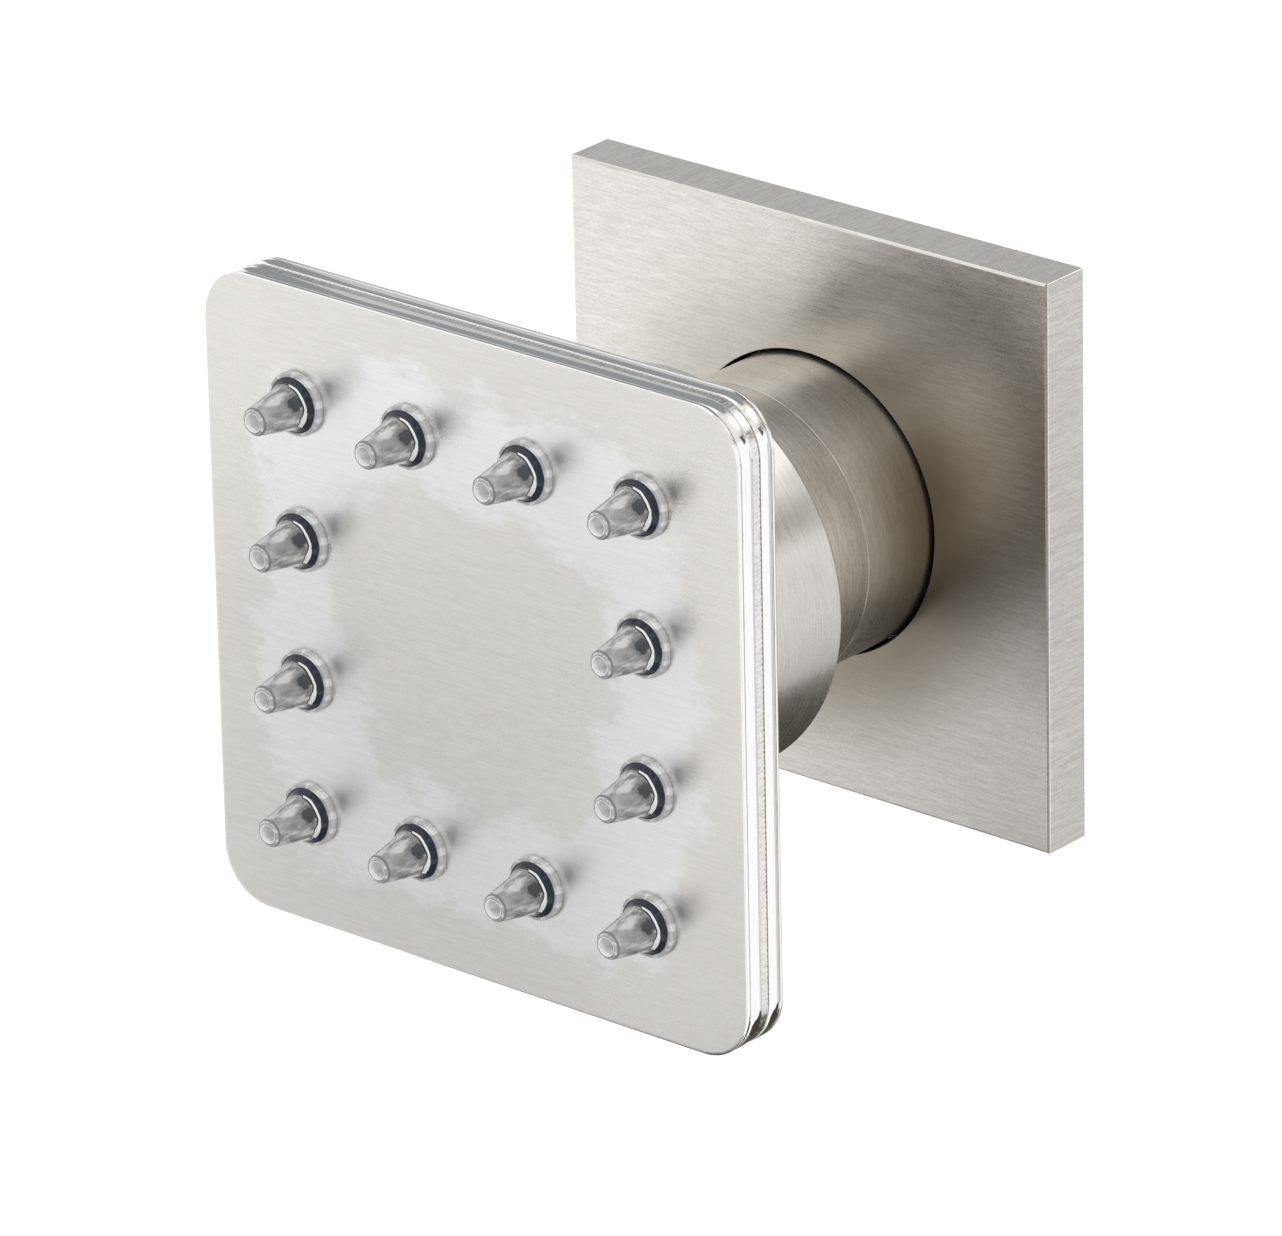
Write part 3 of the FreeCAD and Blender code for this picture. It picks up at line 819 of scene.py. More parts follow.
@dataclass(frozen=True)
class PolishedEdge:
    """Bright polished plating on the head's edge."""

    name: str = "polished_edge"
    light: Colour = (0.97, 0.97, 0.965)
    dark: Colour = (0.90, 0.90, 0.89)

    def material(self) -> Finish:
        """Make the finish's material.

        Returns:
            The material.
        """
        recipe = Recipe(self.name)
        wave = recipe.noise(recipe.stretched(0.5, 2.5, 0.5), detail=4.0, roughness=0.6)
        recipe.bumped(wave, 0.1, 0.006)
        return recipe.set(
            base_color=recipe.blended(recipe.ranged(wave, 0.3, 0.5), self.dark, self.light),
            metallic=1.0,
            roughness=recipe.spread(wave, 0.04, 0.09),
        )


@dataclass(frozen=True)
class RibbedSeam:
    """The narrow ribbed strip between the head's plates."""

    name: str = "ribbed_seam"
    light: Colour = (0.95, 0.94, 0.92)
    dark: Colour = (0.70, 0.69, 0.67)

    def material(self) -> Finish:
        """Make the finish's material.

        Returns:
            The material.
        """
        recipe = Recipe(self.name)
        lines = recipe.noise(recipe.stretched(5.0, 1.5, 5.0), roughness=0.6)
        recipe.bumped(lines, 0.3, 0.01)
        return recipe.set(
            base_color=recipe.blended(recipe.ranged(lines, 0.35, 0.6), self.dark, self.light),
            metallic=1.0,
            roughness=recipe.spread(lines, 0.2, 0.35),
        )


@dataclass(frozen=True)
class Mottled:
    """A plain moulded or raw surface with a fine grain.

    Attributes:
        name: The material's name.
        light: Colour of the lighter spots.
        dark: Colour of the darker spots.
        smooth: Lowest roughness.
        rough: Highest roughness.
        metallic: 1 for metal and 0 for plastic or rubber.
        grain: Spots per millimetre.
    """

    name: str
    light: Colour
    dark: Colour
    smooth: float
    rough: float
    metallic: float = 0.0
    grain: float = 1.5

    def material(self) -> Finish:
        """Make the finish's material.

        Returns:
            The material.
        """
        recipe = Recipe(self.name)
        grain = recipe.noise(recipe.stretched(self.grain), detail=5.0, roughness=0.6)
        cloud = recipe.noise(recipe.stretched(0.15))
        spots = recipe.weighted((grain, 0.5), (cloud, 0.5))
        recipe.bumped(grain, 0.2, 0.02)
        return recipe.set(
            base_color=recipe.blended(recipe.ranged(spots, 0.35, 0.65), self.dark, self.light),
            metallic=self.metallic,
            roughness=recipe.spread(spots, self.smooth, self.rough),
        )


class NozzlePlace:
    """Where each point lies on a nozzle, beside the nozzle's own axis.

    Attributes:
        recipe: The material's nodes.
        side: Distance to the right of the axis.
        out: Height above the face.
        above: Distance above the axis.
        radius: Distance from the axis.
        waves: A pattern that wanders about 0.
    """

    def __init__(self, recipe: Recipe) -> None:
        """Read the place from the nozzle's mesh.

        Args:
            recipe: The material's nodes.
        """
        own = recipe.add("ShaderNodeAttribute", attribute_name=OWN_PLACE).outputs["Vector"]
        self.recipe = recipe
        self.side, self.out, self.above = recipe.parts(own)
        self.radius = recipe.length(self.side, self.above)
        self.waves = recipe.minus(recipe.noise(own, scale=0.9, detail=2.0), 0.5)

    def along(self, degrees: float) -> Socket:
        """Give the distance from the axis in a direction, anticlockwise from the right.

        Args:
            degrees: The direction.

        Returns:
            The distance's output.
        """
        level, rise = math.cos(math.radians(degrees)), math.sin(math.radians(degrees))
        return self.recipe.plus(self.recipe.times(self.side, level), self.recipe.times(self.above, rise))

    def facing(self, degrees: float) -> Socket:
        """Give the cosine of the angle about the axis between a direction and the place."""
        return self.recipe.maths("DIVIDE", self.along(degrees), self.radius)


@dataclass(frozen=True)
class ClearSilicone:
    """Clear soft moulding, milky at its bead, with a ring of painted shade at its foot and painted
    highlights on its cone.

    Attributes:
        name: The material's name.
        clear: Colour of the clear cone.
        milk: Colour of the milky bead.
        shadow: Colour of the ring of painted shade at the cone's foot.
        dusk: Colour of the painted shade spot on the cone, and of the thin painted shade lines.
        pale: Colour of the painted highlights: the crescent inside the dark ring, the streaks and the
            outlet.
        ring_start: Radius at which the dark ring starts on the cone.
        ring_end: Radius at which it ends on the bead.
        ring_height: Height at which it starts on the bead's side.
        crescent_start: Height above the face at which the pale crescent starts.
        crescent_way: Direction of the crescent's middle, in degrees anticlockwise from the right.
        fuller_way: Direction in which it is widest.
        line: Width of the dark line beyond the crescent.
        bead_line: Radius of the thin line on the bead.
        bead_line_share: Strength of that line.
        tip: Height at which the tip starts.
        rim: Radius, width, lowest height and strength of the thin line at the tip's edge.
        mouth: The same of the thin line round the outlet.
        bore: Radii from which and at which the bore's wall has its painted highlight.
        depths: Heights from which and at which it is.
        bore_share: Strength of that painted highlight.
        tip_share: Strength of the tip's painted highlight.
        milkiness: Share that lets no light through anywhere.
        streak_milk: What a streak adds to it.
        bead_milk: What the bead adds to it.
        spot: Direction, height and size of the painted shade spot.
        gleam: Direction, height and size of the painted highlight spot.
    """

    name: str = "clear_silicone"
    clear: Colour = (0.97, 0.975, 0.98)
    milk: Colour = (0.86, 0.865, 0.86)
    shadow: Colour = (0.03, 0.036, 0.052)
    dusk: Colour = (0.045, 0.05, 0.062)
    pale: Colour = (0.99, 0.99, 0.98)
    ring_start: float = 1.6
    ring_end: float = 2.56
    ring_height: float = 0.6
    crescent_start: float = 1.32
    crescent_way: float = 20
    fuller_way: float = -32
    line: float = 0.13
    bead_line: float = 2.76
    bead_line_share: float = 0.3
    tip: float = 5.55
    rim: tuple[float, float, float, float] = (1.24, 0.14, 5.55, 0.75)
    mouth: tuple[float, float, float, float] = (0.93, 0.06, 5.75, 0.6)
    bore: tuple[float, float] = (0.91, 0.88)
    depths: tuple[float, float] = (3.8, 5.0)
    bore_share: float = 0.6
    tip_share: float = 0.35
    milkiness: float = 0.24
    streak_milk: float = 0.45
    bead_milk: float = 0.4
    spot: tuple[float, float, float] = (30, 2.3, 0.9)
    gleam: tuple[float, float, float] = (-52, 2.45, 0.6)

    def foot_ring(self, at: NozzlePlace) -> tuple[Socket, Socket]:
        """Find the ring of painted shade at the cone's foot and the painted highlight crescent inside it.

        Args:
            at: The place on the nozzle.

        Returns:
            The ring's share and the crescent's share.
        """
        recipe, start, soft = at.recipe, self.crescent_start, 0.02
        uneven = recipe.plus(at.out, recipe.times(at.waves, 0.2))
        shown = recipe.ranged(at.facing(self.crescent_way), 0.4, 0.5)
        fuller = recipe.ranged(at.facing(self.fuller_way), 0.75, 1.0, 0.19, 0.5)
        lowered = recipe.minus(uneven, recipe.times(shown, fuller))
        begun = recipe.ranged(uneven, start - soft, start + soft)
        crescent = recipe.times(begun, recipe.ranged(lowered, start + soft, start - soft))
        wavy = recipe.plus(at.radius, recipe.times(at.waves, 0.12))
        outer = recipe.between(wavy, self.ring_start, self.ring_end, 0.05)
        closed = recipe.ranged(lowered, start + self.line + 2 * soft, start + self.line - soft)
        standing = recipe.times(closed, recipe.ranged(at.out, self.ring_height, self.ring_height + 0.05))
        return recipe.times(outer, standing), recipe.times(outer, crescent)

    def patch(self, at: NozzlePlace, degrees: float, height: float, size: float) -> Socket:
        """Find an uneven spot on the cone, as used for both the painted shade spot and the painted highlight
        spot.

        Args:
            at: The place on the nozzle.
            degrees: The spot's direction, anticlockwise from the right.
            height: Its height above the face.
            size: Its radius.

        Returns:
            The spot's share.
        """
        recipe = at.recipe
        along = recipe.times(recipe.minus(at.out, height), 0.8)
        away = recipe.plus(recipe.length(at.along(degrees + 90), along), recipe.times(at.waves, 2.0))
        facing = recipe.ranged(at.facing(degrees), 0.3, 0.6)
        spot = recipe.times(facing, recipe.ranged(away, size, size * 0.4, 0.0, 0.95))
        return recipe.times(recipe.ranged(at.radius, 1.4, 1.5), spot)

    def thin_lines(self, at: NozzlePlace) -> Socket:
        """Find the thin painted shade lines on the bead, at the tip's edge and round the outlet.

        Args:
            at: The place on the nozzle.

        Returns:
            The lines' share.
        """
        recipe, soft = at.recipe, 0.03
        share = recipe.between(at.radius, self.bead_line - soft, self.bead_line + soft, soft)
        share = recipe.times(share, self.bead_line_share)
        for middle, width, start, strength in (self.rim, self.mouth):
            band = recipe.between(at.radius, middle - width / 2, middle + width / 2, soft)
            ending = recipe.ranged(at.out, start, start + 2 * soft, 0.0, strength)
            share = recipe.larger(share, recipe.times(band, ending))
        return share

    def outlet(self, at: NozzlePlace) -> Socket:
        """Find the painted highlight of the outlet, brightest at its mouth.

        Args:
            at: The place on the nozzle.

        Returns:
            The pale share.
        """
        recipe = at.recipe
        inside = recipe.ranged(at.radius, *self.bore)
        bright = recipe.ranged(at.out, self.tip - 0.15, self.tip - 0.05)
        deeper = recipe.ranged(at.out, *self.depths, 0.0, self.bore_share)
        tip = recipe.ranged(at.out, self.tip, self.tip + 0.06, 0.0, self.tip_share)
        return recipe.larger(recipe.times(inside, recipe.larger(bright, deeper)), tip)

    def material(self) -> Finish:
        """Make the finish's material.

        Returns:
            The material.
        """
        recipe = Recipe(self.name)
        at = NozzlePlace(recipe)
        ring, crescent = self.foot_ring(at)
        spot, gleam = self.patch(at, *self.spot), self.patch(at, *self.gleam)
        lines, outlet = self.thin_lines(at), self.outlet(at)
        bead = recipe.ranged(at.out, 0.78, 0.7)
        cloud = recipe.noise(recipe.stretched(0.6))
        drawn = recipe.vector(at.side, recipe.times(at.out, 0.3), at.above)
        # Painted highlights: pale streaks on the cone, with the outlet and the pale spot.
        streaks = recipe.ranged(recipe.noise(drawn, scale=1.1, detail=2.0), 0.46, 0.62)
        light = recipe.larger(recipe.larger(streaks, outlet), gleam)
        beaded = recipe.blended(bead, recipe.blended(light, self.clear, self.pale), self.milk)
        # Painted shade: the dusky spot and the thin dark lines.
        dusky = recipe.blended(recipe.larger(spot, lines), beaded, self.dusk)
        # Painted shade: the dark ring at the cone's foot.
        ringed = recipe.blended(ring, dusky, self.shadow)
        milky = recipe.maths("MULTIPLY_ADD", streaks, self.streak_milk, self.milkiness)
        milky = recipe.maths("MULTIPLY_ADD", bead, self.bead_milk, milky)
        for share in (outlet, gleam, lines, spot, ring, crescent):
            milky = recipe.larger(milky, share)
        recipe.bumped(cloud, 0.15, 0.03)
        return recipe.set(
            # Painted highlight: the pale crescent inside the dark ring.
            base_color=recipe.blended(crescent, ringed, self.pale),
            roughness=recipe.spread(cloud, 0.05, 0.12),
            ior=1.41,
            transmission_weight=recipe.maths("SUBTRACT", 1.0, milky, clamp=True),
        )


class Finishes:
    """Every material of the jet, made once."""

    def __init__(self) -> None:
        """Make the materials."""
        self.face = StainedFace(
            "face_nickel",
            BrushRun.ACROSS,
            light=(0.93, 0.915, 0.89),
            dark=(0.74, 0.725, 0.69),
            depth=0.003,
        ).material()
        self.flange = BrushedNickel(
            "flange_nickel",
            BrushRun.ACROSS,
            light=(0.95, 0.93, 0.895),
            dark=(0.73, 0.705, 0.66),
            # The flange's painted shade round the neck is stronger and wider.
            corner_shade_share=0.88,
            corner_shade_width=12.5,
            upper_left_shade=0.5,
        ).material()
        self.cup = BrushedNickel("cup_nickel", BrushRun.ROUND, light=(0.84, 0.82, 0.785)).material()
        self.neck = BrushedNickel(
            "neck_nickel",
            BrushRun.ROUND,
            light=(0.95, 0.93, 0.885),
            dark=(0.74, 0.715, 0.67),
        ).material()
        self.collar = BrushedNickel(
            "collar_nickel",
            BrushRun.ROUND,
            light=(0.84, 0.81, 0.755),
            dark=(0.62, 0.59, 0.54),
        ).material()
        self.edge = PolishedEdge().material()
        self.seam = RibbedSeam().material()
        self.silicone = ClearSilicone().material()
        self.rubber = Mottled(
            "black_rubber",
            light=(0.03, 0.03, 0.032),
            dark=(0.012, 0.012, 0.013),
            smooth=0.45,
            rough=0.65,
        ).material()
        self.brass = Mottled(
            "raw_brass",
            light=(0.78, 0.6, 0.33),
            dark=(0.66, 0.47, 0.22),
            smooth=0.25,
            rough=0.4,
            metallic=1.0,
            grain=3.0,
        ).material()
        self.seat = Mottled(
            "seat_plastic",
            light=(0.85, 0.84, 0.8),
            dark=(0.78, 0.77, 0.72),
            smooth=0.35,
            rough=0.5,
        ).material()
        self.insert = Mottled(
            "insert_plastic",
            light=(0.16, 0.33, 0.6),
            dark=(0.1, 0.25, 0.5),
            smooth=0.35,
            rough=0.5,
        ).material()
        self.screen = Mottled(
            "screen_steel",
            light=(0.62, 0.62, 0.61),
            dark=(0.5, 0.5, 0.5),
            smooth=0.25,
            rough=0.4,
            metallic=1.0,
            grain=4.0,
        ).material()


@dataclass
class WallMount:
    """The fixed sub-assembly: flange, neck, collar and what the inlet and stem hold.

    Attributes:
        neck_radius: Outer radius of the neck and its collar.
        seam_reach: Reach of the fine seam between neck and collar.
        seam_break: Size of the broken edges beside the seam.
        collar_front: Reach of the collar's open end.
        collar_bore: Inner radius of the collar.
        collar_edge: Size of the round at the collar's open end.
        spigot_length: Length of the neck's spigot inside the collar.
        spigot_fit: Gap between that spigot and the collar.
        thread_radius: Inner radius of the inlet thread.
        thread_pitch: Distance from one thread to the next.
        thread_depth: Depth of the thread.
        thread_length: Length of the thread.
        thread_runout: Plain length at the thread's inner end.
        flank_share: Length of one side of a thread, as a share of the pitch.
        crest_round: Size of the round on a thread's crest.
        root_round: Size of the round between two threads.
        mouth: Widening of the inlet's mouth.
        rear_edge: Size of the round at the neck's rear end.
        pocket_radius: Radius of the washer's pocket.
        floor_reach: Reach of the inlet's floor.
        stem_bore: Radius of the bore for the stem.
        stem_pocket: Radius of the pocket for the stem's ring.
        stem_pocket_depth: Depth of that pocket.
        flat_width: Width across the spanner flats.
        flat_length: Length of the spanner flats.
        ring_section: Thickness of the flange's rubber ring.
        ring_reach: Reach of that ring's middle.
        ring_fit: Gap between that ring and the neck.
        flange_edge: Size of the rounds along the flange's edges.
        stem_edge: Size of the rounds along the stem's edges.
        steps: Straight lengths round the neck and the collar.
    """

    neck_radius: float = 14.0
    seam_reach: float = 14.0
    seam_break: float = 0.05
    collar_front: float = 26.37
    collar_bore: float = 12.7
    collar_edge: float = 0.3
    spigot_length: float = 3.6
    spigot_fit: float = 0.02
    thread_radius: float = 9.25
    thread_pitch: float = 1.814
    thread_depth: float = 1.0
    thread_length: float = 9.8
    thread_runout: float = 0.4
    flank_share: float = 0.44
    crest_round: float = 0.08
    root_round: float = 0.12
    mouth: float = 0.5
    rear_edge: float = 0.25
    pocket_radius: float = 9.8
    floor_reach: float = 12.1
    stem_bore: float = 5.03
    stem_pocket: float = 6.35
    stem_pocket_depth: float = 1.3
    flat_width: float = 26.0
    flat_length: float = 2.2
    ring_section: float = 1.7
    ring_reach: float = 3.3
    ring_fit: float = 0.01
    flange_edge: float = 0.08
    stem_edge: float = 0.1
    steps: int = 160

    def thread(self) -> list[Corner]:
        """List the half section's corners along the inlet thread, from its inner end.

        Returns:
            The corners.
        """
        crest, root = self.thread_radius, self.thread_radius + self.thread_depth
        flank = self.thread_pitch * self.flank_share
        corners = []
        for turn in range(int(self.thread_length / self.thread_pitch)):
            start = self.mouth + self.thread_length - self.thread_runout - turn * self.thread_pitch
            corners += [
                Corner(crest, start, self.crest_round),
                Corner(root, start - flank, self.root_round),
                Corner(crest, start - 2 * flank, self.crest_round),
            ]
        return corners

    def neck(self) -> Piece:
        """Make the neck with its inlet thread, stem pocket and spanner flats.

        Returns:
            The neck.
        """
        front = self.seam_reach + self.spigot_length
        spigot = self.collar_bore - self.spigot_fit
        outer = [
            Corner(self.thread_radius + self.mouth, 0, 0.1),
            Corner(self.neck_radius, 0, self.rear_edge),
            Corner(self.neck_radius, self.seam_reach, self.seam_break),
            Corner(spigot, self.seam_reach),
            Corner(spigot, front, 0.2),
            Corner(self.stem_pocket, front, 0.15),
            Corner(self.stem_pocket, front - self.stem_pocket_depth),
            Corner(self.stem_bore, front - self.stem_pocket_depth),
            Corner(self.stem_bore, self.floor_reach),
            Corner(self.pocket_radius, self.floor_reach),
            Corner(self.pocket_radius, self.mouth + self.thread_length),
        ]
        piece = finished(spun(outer + self.thread(), self.steps, 3), "turned_neck")
        flats = bmesh.new()
        for side in (-1, 1):
            shift = Vector((side * self.flat_width, -self.flat_length / 2, 0))
            size = Matrix.Diagonal((self.flat_width, self.flat_length, 2 * self.flat_width, 1))
            bmesh.ops.create_cube(flats, size=1.0, matrix=Matrix.Translation(shift) @ size)
        worked(piece, flats, Work.CUT)
        return piece

    def collar(self) -> Piece:
        """Make the sleeve in front of the seam.

        Returns:
            The collar.
        """
        corners = [
            Corner(self.collar_bore, self.seam_reach, 0.1),
            Corner(self.neck_radius, self.seam_reach, self.seam_break),
            Corner(self.neck_radius, self.collar_front, self.collar_edge),
            Corner(self.collar_bore, self.collar_front, self.collar_edge / 2),
        ]
        return finished(spun(corners, self.steps), "sleeve_collar")

    def ring(self) -> Piece:
        """Make the flange's rubber ring.

        Returns:
            The ring.
        """
        half = self.ring_section / 2
        middle = self.neck_radius + half + self.ring_fit
        corners = [
            Corner(middle + across * half, self.ring_reach + along * half, half)
            for across, along in ((-1, -1), (1, -1), (1, 1), (-1, 1))
        ]
        return finished(spun(corners, 120, 6), "round_flange_ring")

    def build(self, finishes: Finishes, nodes: dict[str, Piece]) -> None:
        """Make and dress the fixed pieces.

        Args:
            finishes: The jet's materials.
            nodes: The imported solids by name.
        """
        dressed(self.neck(), [finishes.neck], Body.WALL, "neck_body")
        dressed(self.collar(), [finishes.collar], Body.WALL, "neck_collar")
        dressed(self.ring(), [finishes.rubber], Body.WALL, "flange_ring")
        kept(nodes["wall_flange"], finishes.flange, self.flange_edge)
        kept(nodes["inlet_washer"], finishes.rubber)
        kept(nodes["inlet_screen"], finishes.screen)
        kept(nodes["flow_restrictor"], finishes.insert)
        kept(nodes["restrictor_ring"], finishes.rubber)
        kept(nodes["ball_stem"], finishes.brass, self.stem_edge)
        kept(nodes["stem_ring"], finishes.rubber)


@dataclass
class BallJoint:
    """The socket, its seats and its seal, which all keep their solids' shapes."""

    edge: float = 0.1

    def build(self, finishes: Finishes, nodes: dict[str, Piece]) -> None:
        """Dress the joint's pieces.

        Args:
            finishes: The jet's materials.
            nodes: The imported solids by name.
        """
        for name in ("socket_body", "retaining_nut", "hub_nut"):
            kept(nodes[name], finishes.brass, self.edge)
        for name in ("rear_seat_ring", "front_seat_ring"):
            kept(nodes[name], finishes.seat)
        for name in ("ball_seal", "hub_washer"):
            kept(nodes[name], finishes.rubber)


@dataclass
class SwivelCup:
    """The round cup behind the head."""

    radius: float = 18.85
    wall: float = 1.25
    rim_reach: float = 23.6
    floor_reach: float = 44.8

    def cup(self) -> Piece:
        """Make the cup, open towards the wall.

        Returns:
            The cup.
        """
        inner = self.radius - self.wall
        corners = [
            Corner(inner, self.rim_reach, 0.2),
            Corner(self.radius, self.rim_reach, 0.35),
            Corner(self.radius, BACK_REACH, 0.15),
            Corner(SPIGOT_BORE, BACK_REACH),
            Corner(SPIGOT_BORE, self.floor_reach),
            Corner(inner, self.floor_reach, 0.6),
        ]
        return finished(spun(corners, 192), "round_cup")

    def build(self, finishes: Finishes) -> None:
        """Make and dress the cup.

        Args:
            finishes: The jet's materials.
        """
        dressed(self.cup(), [finishes.cup], Body.HEAD, "swivel_cup")


@dataclass
class SoftNozzle:
    """One clear soft nozzle, standing on the face.

    Attributes:
        face: Reach of the face.
        inner_face: Reach of the face's rear side, which the foot holds on.
        height: Height of the tip above the face.
        tip: Radius of the tip.
        tip_break: Size of the tip's slanted edge.
        body: Radius at the foot of the cone.
        body_height: Height of the cone's foot above the face.
        flare: Radius at the top of the bead.
        bead: Largest radius of the bead.
        bead_height: Height of the bead.
        waist: Radius inside the face's hole.
        foot: Radius of the hidden foot.
        foot_thickness: Thickness of that foot.
        intake: Radius of the bore at the foot.
        outlet: Radius of the bore at the tip.
        throat: Height above the face at which the bore is down to its outlet.
        squeeze: Depth that the soft bead and foot press into the metal.
    """

    face: float
    inner_face: float
    height: float = 5.9
    tip: float = 1.28
    tip_break: float = 0.25
    body: float = 2.0
    body_height: float = 1.68
    flare: float = 2.45
    bead: float = 2.95
    bead_height: float = 0.75
    waist: float = 2.15
    foot: float = 3.0
    foot_thickness: float = 0.8
    intake: float = 1.7
    outlet: float = 0.8
    throat: float = 3.4
    squeeze: float = 0.02

    def nozzle(self, name: str, x: float, z: float) -> Piece:
        """Make the nozzle at its place.

        Args:
            name: The object's name.
            x: Distance of its axis to the right of the jet's.
            z: Distance of its axis above the jet's.

        Returns:
            The nozzle.
        """
        top = self.face + self.height
        rear = self.inner_face - self.foot_thickness
        pressed_rear, pressed_front = self.inner_face + self.squeeze, self.face - self.squeeze
        corners = [
            Corner(self.outlet, top, 0.06),
            Corner(self.outlet, self.face + self.throat, 0.4),
            Corner(self.intake, self.inner_face, 0.3),
            Corner(self.intake, rear, 0.1),
            Corner(self.foot, rear, 0.2),
            Corner(self.foot, pressed_rear, 0.1),
            Corner(self.waist, pressed_rear),
            Corner(self.waist, pressed_front),
            Corner(self.bead - 0.02, pressed_front, 0.12),
            Corner(self.bead, self.face + self.bead_height, 0.36),
            Corner(self.flare, self.face + self.bead_height, 0.08),
            Corner(self.body, self.face + self.body_height, 0.35),
            Corner(self.tip, top - self.tip_break, 0.06),
            Corner(self.tip - self.tip_break, top, 0.05),
        ]
        mesh = spun(corners, 56)
        own_place = mesh.verts.layers.float_vector.new(OWN_PLACE)
        for vertex in mesh.verts:
            vertex[own_place] = (vertex.co.x, -vertex.co.y - self.face, vertex.co.z)
        bmesh.ops.translate(mesh, verts=mesh.verts[:], vec=(x, 0, z))
        return finished(mesh, name)


@dataclass
class SprayHead:
    """The square head: two plates, the strip between them, screws and soft nozzles.

    Attributes:
        side: Width of the head.
        corner: Radius of its corners.
        back_rim: Reach of the back plate's front rim.
        front_rim: Reach of the front plate's rear rim.
        face: Reach of the face.
        face_wall: Thickness of the face.
        back_wall: Thickness of the back.
        skirt: Thickness of the side walls.
        lip: Width of the thin lip at each outer edge.
        lip_round: Size of the round on the lip's groove side.
        groove: Width of the groove that sets the lip off.
        groove_depth: Depth of that groove.
        flank: Slant of the groove's sides.
        edge_break: Size of the broken edges.
        band_start: Distance past the groove and inset of each ring where the edge band starts.
        band_flat: Shares of the band's width between which it is flat.
        band_end: Distance before the rim and inset of each ring where the band ends.
        seam_recess: Distance of the strip inside the plates.
        rib_pitch: Distance from one rib of the strip to the next.
        rib_depth: Depth between its ribs.
        screw_place: Distance of each screw from the axis, along x and z.
        screw_radius: Radius of a screw's shank.
        screw_clearance: Gap round it in the back plate.
        screw_fit: Gap round it in its boss.
        screw_spare: Distance of its tip behind the face's rear side.
        screw_head: Radius of a screw's head.
        screw_head_height: Height of that head.
        screw_socket: Width across the flats of its hexagon socket.
        screw_socket_depth: Depth of that socket.
        boss_radius: Radius of a screw boss.
        boss_sink: Depth that a boss runs into the face.
        boss_floor: Distance of a boss's hole behind the face's rear side.
        nozzle_hole: Radius of the holes in the face.
        nozzle_outer: Distance of the outer rows of nozzles from the axis.
        nozzle_inner: Distance of the inner ones.
    """

    side: float = 60.0
    corner: float = 5.0
    back_rim: float = 47.85
    front_rim: float = 48.8
    face: float = 50.8
    face_wall: float = 1.2
    back_wall: float = 1.0
    skirt: float = 1.3
    lip: float = 0.35
    lip_round: float = 0.03
    groove: float = 0.16
    groove_depth: float = 0.14
    flank: float = 0.02
    edge_break: float = 0.12
    band_start: tuple[Place, ...] = ((0.0, 0.06), (0.08, 0.03))
    band_flat: tuple[float, ...] = (0.35, 0.65)
    band_end: tuple[Place, ...] = ((0.1, 0.03), (0.03, 0.07), (0.0, 0.16))
    seam_recess: float = 0.12
    rib_pitch: float = 0.5
    rib_depth: float = 0.04
    screw_place: float = 24.4
    screw_radius: float = 1.2
    screw_clearance: float = 0.05
    screw_fit: float = 0.03
    screw_spare: float = 0.7
    screw_head: float = 2.2
    screw_head_height: float = 1.3
    screw_socket: float = 1.5
    screw_socket_depth: float = 0.7
    boss_radius: float = 2.5
    boss_sink: float = 0.2
    boss_floor: float = 0.3
    nozzle_hole: float = 2.2
    nozzle_outer: float = 19.35
    nozzle_inner: float = 6.65

    @property
    def face_rear(self) -> float:
        """Give the reach of the face's rear side."""
        return self.face - self.face_wall

    @property
    def back_front(self) -> float:
        """Give the reach of the back's front side."""
        return BACK_REACH + self.back_wall

    def screw_places(self) -> list[Place]:
        """List the places of the four screws."""
        sides = (-self.screw_place, self.screw_place)
        return [(x, z) for x in sides for z in sides]

    def nozzle_places(self) -> list[Place]:
        """List the places of the nozzles, row by row from the top.

        Returns:
            The x and z of each.
        """
        steps = (-self.nozzle_outer, -self.nozzle_inner, self.nozzle_inner, self.nozzle_outer)
        outer = (steps[0], steps[-1])
        return [(x, z) for z in reversed(steps) for x in steps if x in outer or z in outer]

    def edge_stations(self, outer: float, rim: float) -> list[Place]:
        """List the stations of a plate's edge, from its flat outer face to its rim.

        Args:
            outer: Reach of the flat face.
            rim: Reach of the rim at the seam.

        Returns:
            The reach and inset of each ring.
        """
        way = math.copysign(1.0, rim - outer)
        broken = self.edge_break
        lip_end = outer + way * self.lip
        groove_end = lip_end + way * self.groove
        band = abs(rim - groove_end)
        return [
            (outer, broken * 3),
            (outer, broken),
            (outer + way * broken * 0.3, broken * 0.3),
            (outer + way * broken, 0.0),
            (lip_end - way * self.lip_round, 0.0),
            (lip_end, self.flank),
            (lip_end + way * self.flank, self.groove_depth),
            (groove_end - way * self.flank, self.groove_depth),
            *[(groove_end + way * past, inset) for past, inset in self.band_start],
            *[(groove_end + way * band * share, 0.0) for share in self.band_flat],
            *[(rim - way * before, inset) for before, inset in self.band_end],
        ]

    def dish(self, name: str, outer: float, rim: float, floor: float) -> Piece:
        """Make one plate as a shallow dish with its lip, groove and crowned edge band.

        Args:
            name: The object's name.
            outer: Reach of the flat outer face.
            rim: Reach of the rim at the seam.
            floor: Reach of the hollow's floor.

        Returns:
            The dish, with the polished edge as its second finish.
        """
        outline = RoundedSquare(self.side, self.corner)
        mesh = bmesh.new()
        first = outline.draw(mesh, outer)
        margin, *stations = self.edge_stations(outer, rim)
        outline.settle(mesh.verts[:], *margin)
        bmesh.ops.contextual_create(mesh, geom=first)
        edge_ring = outline.stack(mesh, first, stations)
        last = outline.stack(mesh, edge_ring, [(rim, self.skirt), (floor, self.skirt)])
        bmesh.ops.contextual_create(mesh, geom=last)
        for face in mesh.faces:
            centre = face.calc_center_median()
            flat = abs(centre.y + outer) < self.edge_break * 0.1
            inside = max(abs(centre.x), abs(centre.z)) < self.side / 2 - self.skirt / 2
            face.material_index = 0 if flat or inside else 1
        return finished(mesh, name)

